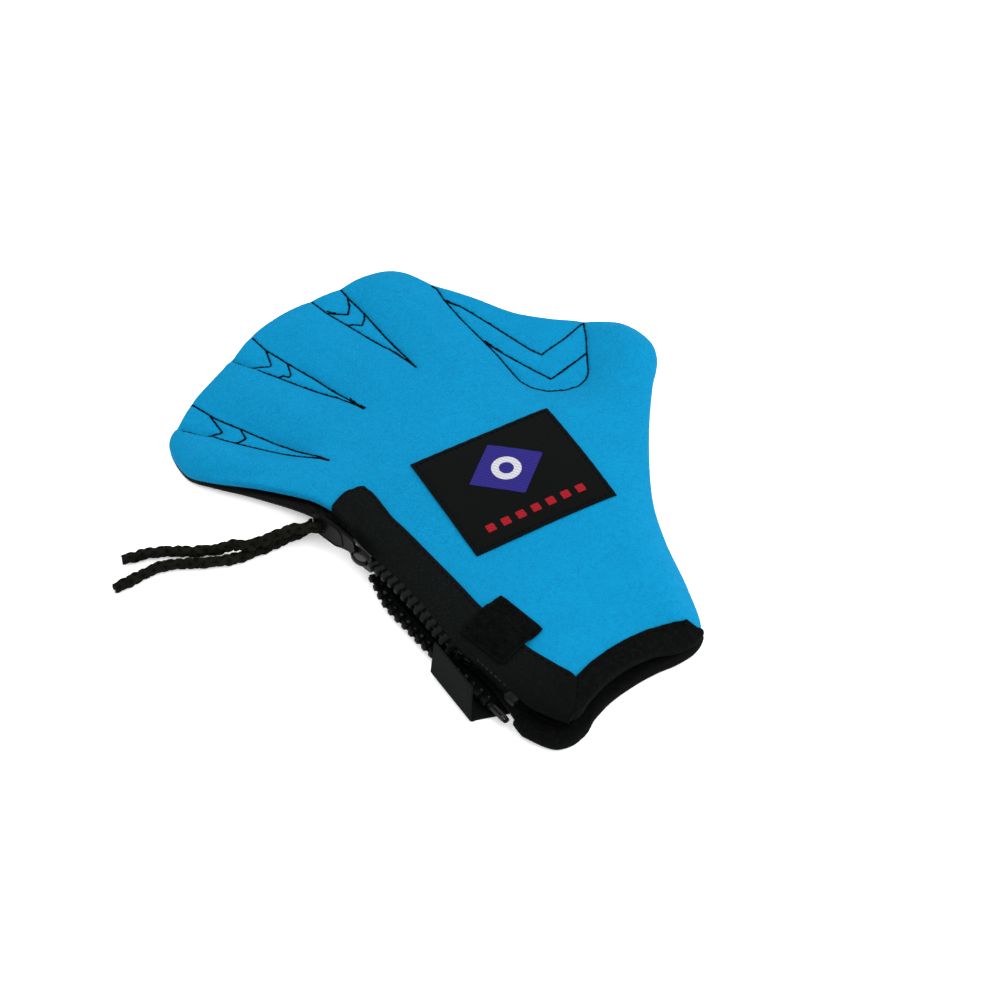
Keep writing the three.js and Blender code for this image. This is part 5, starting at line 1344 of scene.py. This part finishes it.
# ---------------------------------------------------------------- slider and puller
def extrude(outline, holes, z0, z1, bevel=0.3):
    """A plate with bevelled outer edge; the holes are loops of as many points as join plainly."""
    def inset(loop, d):
        p = np.asarray(loop, float)
        e = np.roll(p, -1, 0) - np.roll(p, 1, 0)
        e /= np.linalg.norm(e, axis=1)[:, None]
        return p + np.stack([-e[:, 1], e[:, 0]], 1) * d
    loops = [np.asarray(outline, float)] + [np.asarray(h, float) for h in holes]
    v, f = [], []
    base = []
    for loop in loops:
        k = len(loop)
        start = sum(len(x) for x in v)
        for z, d in ((z0, bevel), (z0 + bevel, 0), (z1 - bevel, 0), (z1, bevel)):
            v.append(np.column_stack([inset(loop, d), np.full(k, z)]))
        base.append((start, k))
        for a in range(3):
            for j in range(k):
                f.append((start + a * k + j, start + a * k + (j + 1) % k, start + (a + 1) * k + (j + 1) % k, start + (a + 1) * k + j))
    V = np.vstack(v)
    for level, flip in ((0, True), (3, False)):
        ids = [list(range(s + level * k, s + level * k + k)) for s, k in base]
        pts = [Vector(V[i][:2]) for g in ids for i in g]
        flat_ids = [i for g in ids for i in g]
        edges, at = [], 0
        for g in ids:
            edges += [(at + j, at + (j + 1) % len(g)) for j in range(len(g))]
            at += len(g)
        res = delaunay_2d_cdt(pts, edges, [], 3 if len(loops) > 1 else 1, 1e-7)
        back = {i: (o[0] if o else None) for i, o in enumerate(res[3])}
        for t in res[2]:
            tri = [flat_ids[back[i]] for i in t]
            a, b, c = (V[i][:2] for i in tri[:3])
            ccw = (b[0] - a[0]) * (c[1] - a[1]) - (b[1] - a[1]) * (c[0] - a[0]) > 0
            if ccw == flip:
                tri = tri[::-1]
            f.append(tuple(tri))
    return V, f


def arc(cx, cy, r, a0, a1, n):
    a = np.linspace(math.radians(a0), math.radians(a1), n)
    return [(cx + r * math.cos(t), cy + r * math.sin(t)) for t in a]


def slider_place(v):
    a = np.array([math.cos(SLIDER_AT["turn"]), math.sin(SLIDER_AT["turn"]), 0])
    up = np.array([0, 0, 1.0])
    out = np.cross(a, up)
    return v @ np.stack([a, up, out]) + np.array([SLIDER_AT["x"], SLIDER_AT["y"], SLIDER_AT["z"]])


def slider():
    mesh = Mesh()
    half, l = SLIDER["thick"] / 2, SLIDER["long"] / 2

    def plate_outline(wide):
        w = wide / 2
        c = [(-l, -w * 0.55), (-l * 0.55, -w * 0.78), (l * 0.35, -w), (l * 0.8, -w * 0.86), (l, -w * 0.45), (l, w * 0.45), (l * 0.8, w * 0.86), (l * 0.35, w), (-l * 0.55, w * 0.78), (-l, w * 0.55)]
        return along(c, 0.9, True)

    for frm, wide in ((half - SLIDER["plate"], SLIDER["wide"]), (-half, SLIDER["wide"] * 0.62)):
        v, f = extrude(plate_outline(wide), [], frm, frm + SLIDER["plate"], 0.32)
        w = slider_place(v)
        mesh.add(w, outward(w, f))
    # the edges of the outer plate turned in round the teeth
    for sgn in (1, -1):
        w = SLIDER["wide"] / 2 - 0.5
        p = np.array([(-l * 0.5, sgn * w * 0.8, half - 0.7), (0, sgn * w * 0.92, half - 0.75), (l * 0.4, sgn * w, half - 0.8), (l * 0.75, sgn * w * 0.9, half - 0.8)])
        tube(mesh, slider_place(curved(p, 0.6)), 0.62, 8)
    v, f = extrude(along([(-1.7, -1), (1.7, -1), (1.7, 1), (-1.7, 1)], 1.0, True), [], -half + 0.2, half - 0.2, 0.15)
    v[:, 0] += l - 2.6
    w = slider_place(v)
    mesh.add(w, outward(w, f))
    # bridge: a flat arch over the outer plate
    a = np.radians(np.linspace(-14, 194, 26))
    mid, long, rise = (BRIDGE["from"] + BRIDGE["to"]) / 2, (BRIDGE["to"] - BRIDGE["from"]) / 2 - BRIDGE["rod"] / 2, BRIDGE["high"] - BRIDGE["rod"] / 2
    rod = np.column_stack([mid + long * np.cos(a), np.zeros(26), half - 0.1 + rise * np.sin(a)])
    out = slider_place(np.array([[0, 0, 1.0]]))[0] - slider_place(np.array([[0, 0, 0.0]]))[0]
    tube(mesh, slider_place(rod), BRIDGE["rod"] / 2 + 0.04, 10, ends=0.95, flat=(2.35, 1), up=out)
    o = mesh.object("zip_slider", [MAT["slider"]], "slider_metal", 40)
    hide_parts("zipper_slider")


slider()


def puller():
    L, W = PULLER["long"], PULLER["wide"]
    c = [(2, 0), (L * 0.7, 0.2), (L - 1.4, W * 0.16), (L, W * 0.3), (L, W * 0.78), (L - 0.8, W * 0.9), (L - 2.4, W - 0.2), (4.6, W), (2.2, W - 0.9),
         (0.6, W - 3), (0, W - 5), (0, 2.4), (0.6, 0.8)]
    hole = arc(4.9, W / 2, 1, 360, 12, 26)
    hole = [(4.9 + (x - 4.9) * PULLER["eye"], W / 2 + (y - W / 2) * (PULLER["eye"] + 0.3)) for x, y in hole]
    v, f = extrude(along(c, 0.6, True), [hole], 0, PULLER["thick"], 0.3)
    pu = np.array([PULLER_AT["ux"], PULLER_AT["uy"], PULLER_AT["uz"]])
    pu /= np.linalg.norm(pu)
    po = np.array([PULLER_AT["uy"], -PULLER_AT["ux"], 0])
    po /= np.linalg.norm(po)
    pw = -po * PULLER_AT["lean"] + np.array([0, 0, W])
    pw = pw - pu * (pw @ pu)
    pw /= np.linalg.norm(pw)
    pn = np.cross(pu, pw)
    outside = pn @ po > 0
    if outside:
        v[:, 2] -= PULLER["thick"]
    place = lambda p: np.asarray(p) @ np.stack([pu, pw, pn]) + np.array([PULLER_AT["x"], PULLER_AT["y"], PULLER_AT["z"]])
    mesh = Mesh()
    w = place(v)
    mesh.add(w, outward(w, f))
    # a moulded lip round the eye and a raised rim round the tab, both on the outer face
    z, sgn = (0.0, 1) if outside else (0.0, -1)
    z = 0.0
    for level, way in ((0.0, 1), (-PULLER["thick"] if outside else PULLER["thick"], -1)):
        ring = np.array([(x, y, 0) for x, y in arc(4.9, W / 2, 1, 0, 360, 30)])
        ring[:, 0] = 4.9 + (ring[:, 0] - 4.9) * (PULLER["eye"] + 0.45)
        ring[:, 1] = W / 2 + (ring[:, 1] - W / 2) * (PULLER["eye"] + 0.75)
        ring[:, 2] = level
        tube(mesh, place(ring), 0.3, 6, ends=1)
    rim = along(c, 0.7, True)
    mid = np.array([L * 0.55, W / 2])
    rim = mid + (rim - mid) * np.array([0.93, 0.88])
    rim = np.column_stack([rim, np.zeros(len(rim))])
    rim[:, 2] = 0.0 if outside else PULLER["thick"]
    tube(mesh, place(np.vstack([rim, rim[:1]])), 0.26, 6, ends=1)
    # the thinner end of the tab, hooked over the slider's arch
    end = along([(L - 2, W * 0.14), (L + 5.5, W * 0.3), (L + 7.5, W * 0.45), (L + 7.5, W * 0.8), (L + 6.5, W * 0.93), (L - 2, W * 0.97)], 0.8, True)
    v, f = extrude(end, [], 0.12, PULLER["thick"] - 0.12, 0.25)
    if outside:
        v[:, 2] -= PULLER["thick"]
    w = place(v)
    mesh.add(w, outward(w, f))
    o = mesh.object("pull_tab", [MAT["puller"]], "slider_metal", 40)
    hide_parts("puller_tab")


puller()


# ---------------------------------------------------------------- hook strap
def strap():
    out = np.array([STRAP_AT["uy"], -STRAP_AT["ux"], 0])
    u = np.array([STRAP_AT["ux"], STRAP_AT["uy"], 0])
    r = STRAP["bend"] - STRAP["thick"] / 2
    prof = [(mix(-STRAP["run"], -STRAP["bend"], k), STRAP["thick"] / 2, 0.0) for k in np.linspace(0, 1, 16)]
    for k in range(1, 13):
        a = k / 12 * 1.5
        prof.append((-STRAP["bend"] + math.sin(a) * r, STRAP["thick"] / 2 + (1 - math.cos(a)) * r, a))
    last = prof[-1]
    for k in np.linspace(0.07, 1, 14):
        prof.append((last[0] - STRAP["lean"] * k, last[1] + (STRAP["high"] - last[1]) * k, 1.56 + 0.08 * k))
    prof = np.array(prof)
    fs = np.linspace(0, 1, 22)
    base = np.array([STRAP_AT["x"], STRAP_AT["y"], 0])

    def face(side, f, o, z, a):
        p = base + u * (f * (STRAP["wide"] + STRAP["flare"] * (1 - z / STRAP["high"])) + STRAP["skew"] * max(0.0, -STRAP["bend"] - o))
        return p + out * (o + side * math.sin(a) * STRAP["thick"] / 2) + np.array([0, 0, z - side * math.cos(a) * STRAP["thick"] / 2])

    outer = np.array([[face(1, f, *q) for q in prof] for f in fs])
    inner = np.array([[face(-0.25, f, *q) for q in prof] for f in fs])
    # the free end is heat cut, its slight rounding at the corners not modelled
    mesh = Mesh()
    v, f = grid_plate(outer, inner)
    uv = np.zeros((len(v), 2))
    mesh.add(v, f, 0, uv)
    # rows of hooks on the inner face
    s = np.concatenate([[0], np.cumsum(np.hypot(np.diff(prof[:, 0]), np.diff(prof[:, 1])))])
    for d in np.arange(1.2, s[-1] - 0.9, 1.35):
        o_, z_, a_ = (np.interp(d, s, prof[:, k]) for k in range(3))
        for j, w in enumerate(np.arange(0.045, 0.965, 0.056)):
            w = w + (0.028 if int(d / 1.35) % 2 else 0)
            if w > 0.975:
                continue
            p = face(-0.25, w, o_, z_, a_)
            nrm = -(out * math.sin(a_)) + np.array([0, 0, math.cos(a_)])
            lean = u * (1 if j % 2 else -1)
            q = [p - nrm * 0.05, p + nrm * 0.35, p + nrm * 0.56 + lean * 0.14, p + nrm * 0.5 + lean * 0.34]
            tube(mesh, np.array(q), 0.11, 4, 1)
    # overcast edge of the outer face, a line in from each side
    for w in (0.05, 0.95):
        pts = np.array([face(1.0, w, *q) for q in prof])
        pts = along(pts, 1.1)
        for a, b in zip(pts[:-1:2], pts[1::2]):
            tube(mesh, np.array([a, (a + b) / 2, b]), 0.13, 5, 2)
    o = mesh.object("strap", [MAT["strap"], MAT["hooks"], MAT["thread"]], "hook_tape", 45)
    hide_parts("hook_strap")


strap()


# ---------------------------------------------------------------- loop patch and label
def turned(cx, cy, turn, u, v):
    c, s = math.cos(turn), math.sin(turn)
    return cx + u * c - v * s, cy + u * s + v * c


def over_tape(x, y):
    xy = np.column_stack([np.ravel(x), np.ravel(y)])
    d = np.min([seg_distance(xy, a, b) for a, b in zip(UP_A[:-1:3], UP_A[3::3])], 0)
    over = np.where(inside(UP_POLY, xy), 1.0, 1 - smooth(1.5, 4.5, d))
    return (OUTER(xy[:, 0], xy[:, 1]) + LAY + 0.1 + (TAPE + GAP + 0.2) * over).reshape(np.shape(x))


def loop_patch():
    n = 40
    g = np.linspace(-0.5, 0.5, n + 1)
    U, V = np.meshgrid(g * PATCH["side"], g * PATCH["side"], indexing="ij")
    # corners a little rounded
    k = (np.abs(U) + np.abs(V)) / PATCH["side"]
    f = 1 - 0.03 * smooth(0.86, 1.0, k)
    U, V = U * f, V * f
    x, y = turned(PATCH["x"], PATCH["y"], PATCH["turn"], U, V)
    low = over_tape(x, y)
    edge = np.minimum(PATCH["side"] / 2 - np.abs(U), PATCH["side"] / 2 - np.abs(V))
    top = low + 0.55 + 0.65 * smooth(0.3, 2.6, edge) - 0.25 * np.exp(-(((edge - 2.0) / 0.45) ** 2))
    mesh = Mesh()
    v, fc = grid_plate(np.dstack([x, y, top]), np.dstack([x, y, low]))
    mesh.add(v, fc, 0)
    pile = Mesh()
    h = PATCH["side"] / 2
    field = lambda a, b: np.interp(np.minimum(h - abs(a), h - abs(b)), [0, 0.3, 2.6, 20], [0.55, 0.55, 1.2, 1.2])
    for _ in range(2600):
        a, b = (RNG.random(2) * 2 - 1) * (h - 0.5)
        if abs(min(h - abs(a), h - abs(b)) - 2.0) < 0.35:
            continue
        e = field(a, b)
        x0, y0 = turned(PATCH["x"], PATCH["y"], PATCH["turn"], a, b)
        z0 = float(over_tape(np.array([x0]), np.array([y0]))[0]) + e
        th = RNG.random() * 6.283
        d = np.array([math.cos(th), math.sin(th), 0]) * (0.25 + 0.25 * RNG.random())
        hgt = 0.25 + 0.3 * RNG.random()
        lean = RNG.normal(0, 0.12, 2)
        p = np.array([x0, y0, z0])
        top_ = np.array([lean[0], lean[1], hgt])
        q = [p - d - [0, 0, 0.15], p - d * 1.1 + top_ * 0.7, p + top_, p + d * 1.1 + top_ * 0.7, p + d - [0, 0, 0.15]]
        tube(pile, np.array(q), 0.07, 3)
    sq = [(-h + 2, -h + 2), (h - 2, -h + 2), (h - 2, h - 2), (-h + 2, h - 2), (-h + 2, -h + 2)]
    sq = np.array([turned(PATCH["x"], PATCH["y"], PATCH["turn"], *p) for p in sq])
    stitches(mesh, sq, lambda x_, y_: over_tape(x_, y_) + 0.95, radius=0.24, long=2.3, gap=0.5, mat=2)
    pile.object("loop_square_pile", [MAT["pile"]], "loop_pile", 60)
    o = mesh.object("loop_square", [MAT["patch"], MAT["pile"], MAT["thread"]], "loop_pile", 60)
    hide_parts("loop_patch")


loop_patch()


def label():
    nx, ny = 72, 64
    gx, gy = np.linspace(-0.5, 0.5, nx + 1) * LABEL["wide"], np.linspace(-0.5, 0.5, ny + 1) * LABEL["high"]
    U, V = np.meshgrid(gx, gy, indexing="ij")
    x, y = turned(LABEL["x"], LABEL["y"], LABEL["turn"], U, V)
    low = OUTER(x, y) + 0.12
    edge = np.minimum(LABEL["wide"] / 2 - np.abs(U), LABEL["high"] / 2 - np.abs(V))
    sew = np.exp(-(((edge - 1.6) / 0.5) ** 2))
    pucker = 0.09 * np.sin(U * 1.1 + 0.7 * np.sin(V * 0.9)) * np.exp(-edge / 3.5) + 0.09 * np.sin(V * 1.2) * np.exp(-edge / 3.5)
    thick = 0.6 + 0.3 * smooth(0, 0.8, edge) - 0.28 * sew + pucker
    base_top = low + thick
    mesh = Mesh()
    v, f = grid_plate(np.dstack([x, y, base_top]), np.dstack([x, y, low]))
    mesh.add(v, f, 0)

    def height(px, py):
        return OUTER(px, py) + 0.12 + 0.9

    def shape(loop, mat, rise, step=1.2):
        """A woven shape: a thin raised patch that follows the cloth."""
        loop = np.asarray(loop, float)
        lo, hi = loop.min(0), loop.max(0)
        gx, gy = np.meshgrid(np.arange(lo[0], hi[0], step), np.arange(lo[1], hi[1], step))
        g = np.stack([gx.ravel(), gy.ravel()], 1)
        g = g[inside(loop, g)]
        d = np.min([seg_distance(g, a, b) for a, b in zip(loop, np.roll(loop, -1, 0))], 0) if len(g) else np.zeros(0)
        pts, tri = triangulate(loop, g[d > step * 0.5])
        wx, wy = turned(LABEL["x"], LABEL["y"], LABEL["turn"], pts[:, 0], pts[:, 1])
        z = height(wx, wy)
        k, m = len(loop), len(pts)
        v = np.vstack([np.column_stack([wx, wy, z + rise]), np.column_stack([wx, wy, z - 0.15])])
        f = [tuple(t) for t in tri] + [tuple(m + i for i in t[::-1]) for t in tri]
        f += [(i, m + i, m + (i + 1) % k, (i + 1) % k) for i in range(k)]
        mesh.add(v, f, mat)

    cy = 5.5
    diamond = along([(-17.5, cy), (0, cy - 15.5), (17.5, cy), (0, cy + 15.5)], 1.1, True)
    shape(diamond, 1, 0.1)
    disc = np.array(arc(0, cy, 6.3, 0, 352, 44))
    shape(disc, 2, 0.2)
    inner = np.array(arc(0, cy, 3.1, 0, 345, 24))
    shape(inner, 1, 0.28)
    for k in range(7):
        c = (-21 + 7 * k, -18.5)
        sq = along([(c[0] - 1.9, c[1] - 1.9), (c[0] + 1.9, c[1] - 1.9), (c[0] + 1.9, c[1] + 1.9), (c[0] - 1.9, c[1] + 1.9)], 0.9, True)
        shape(sq, 3, 0.14)
    h, w = LABEL["high"] / 2 - 1.6, LABEL["wide"] / 2 - 1.6
    ring = np.array([turned(LABEL["x"], LABEL["y"], LABEL["turn"], *p) for p in ((-w, -h), (w, -h), (w, h), (-w, h), (-w, -h))])
    stitches(mesh, ring, lambda x_, y_: OUTER(x_, y_) + 0.12 + 0.62, radius=0.24, long=2.2, gap=0.6, mat=4, sink=0.02)
    o = mesh.object("sewn_label", [MAT["label"], MAT["label_blue"], MAT["label_white"], MAT["label_red"], MAT["thread"]], "woven_label", 50)
    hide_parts("label_patch")


label()
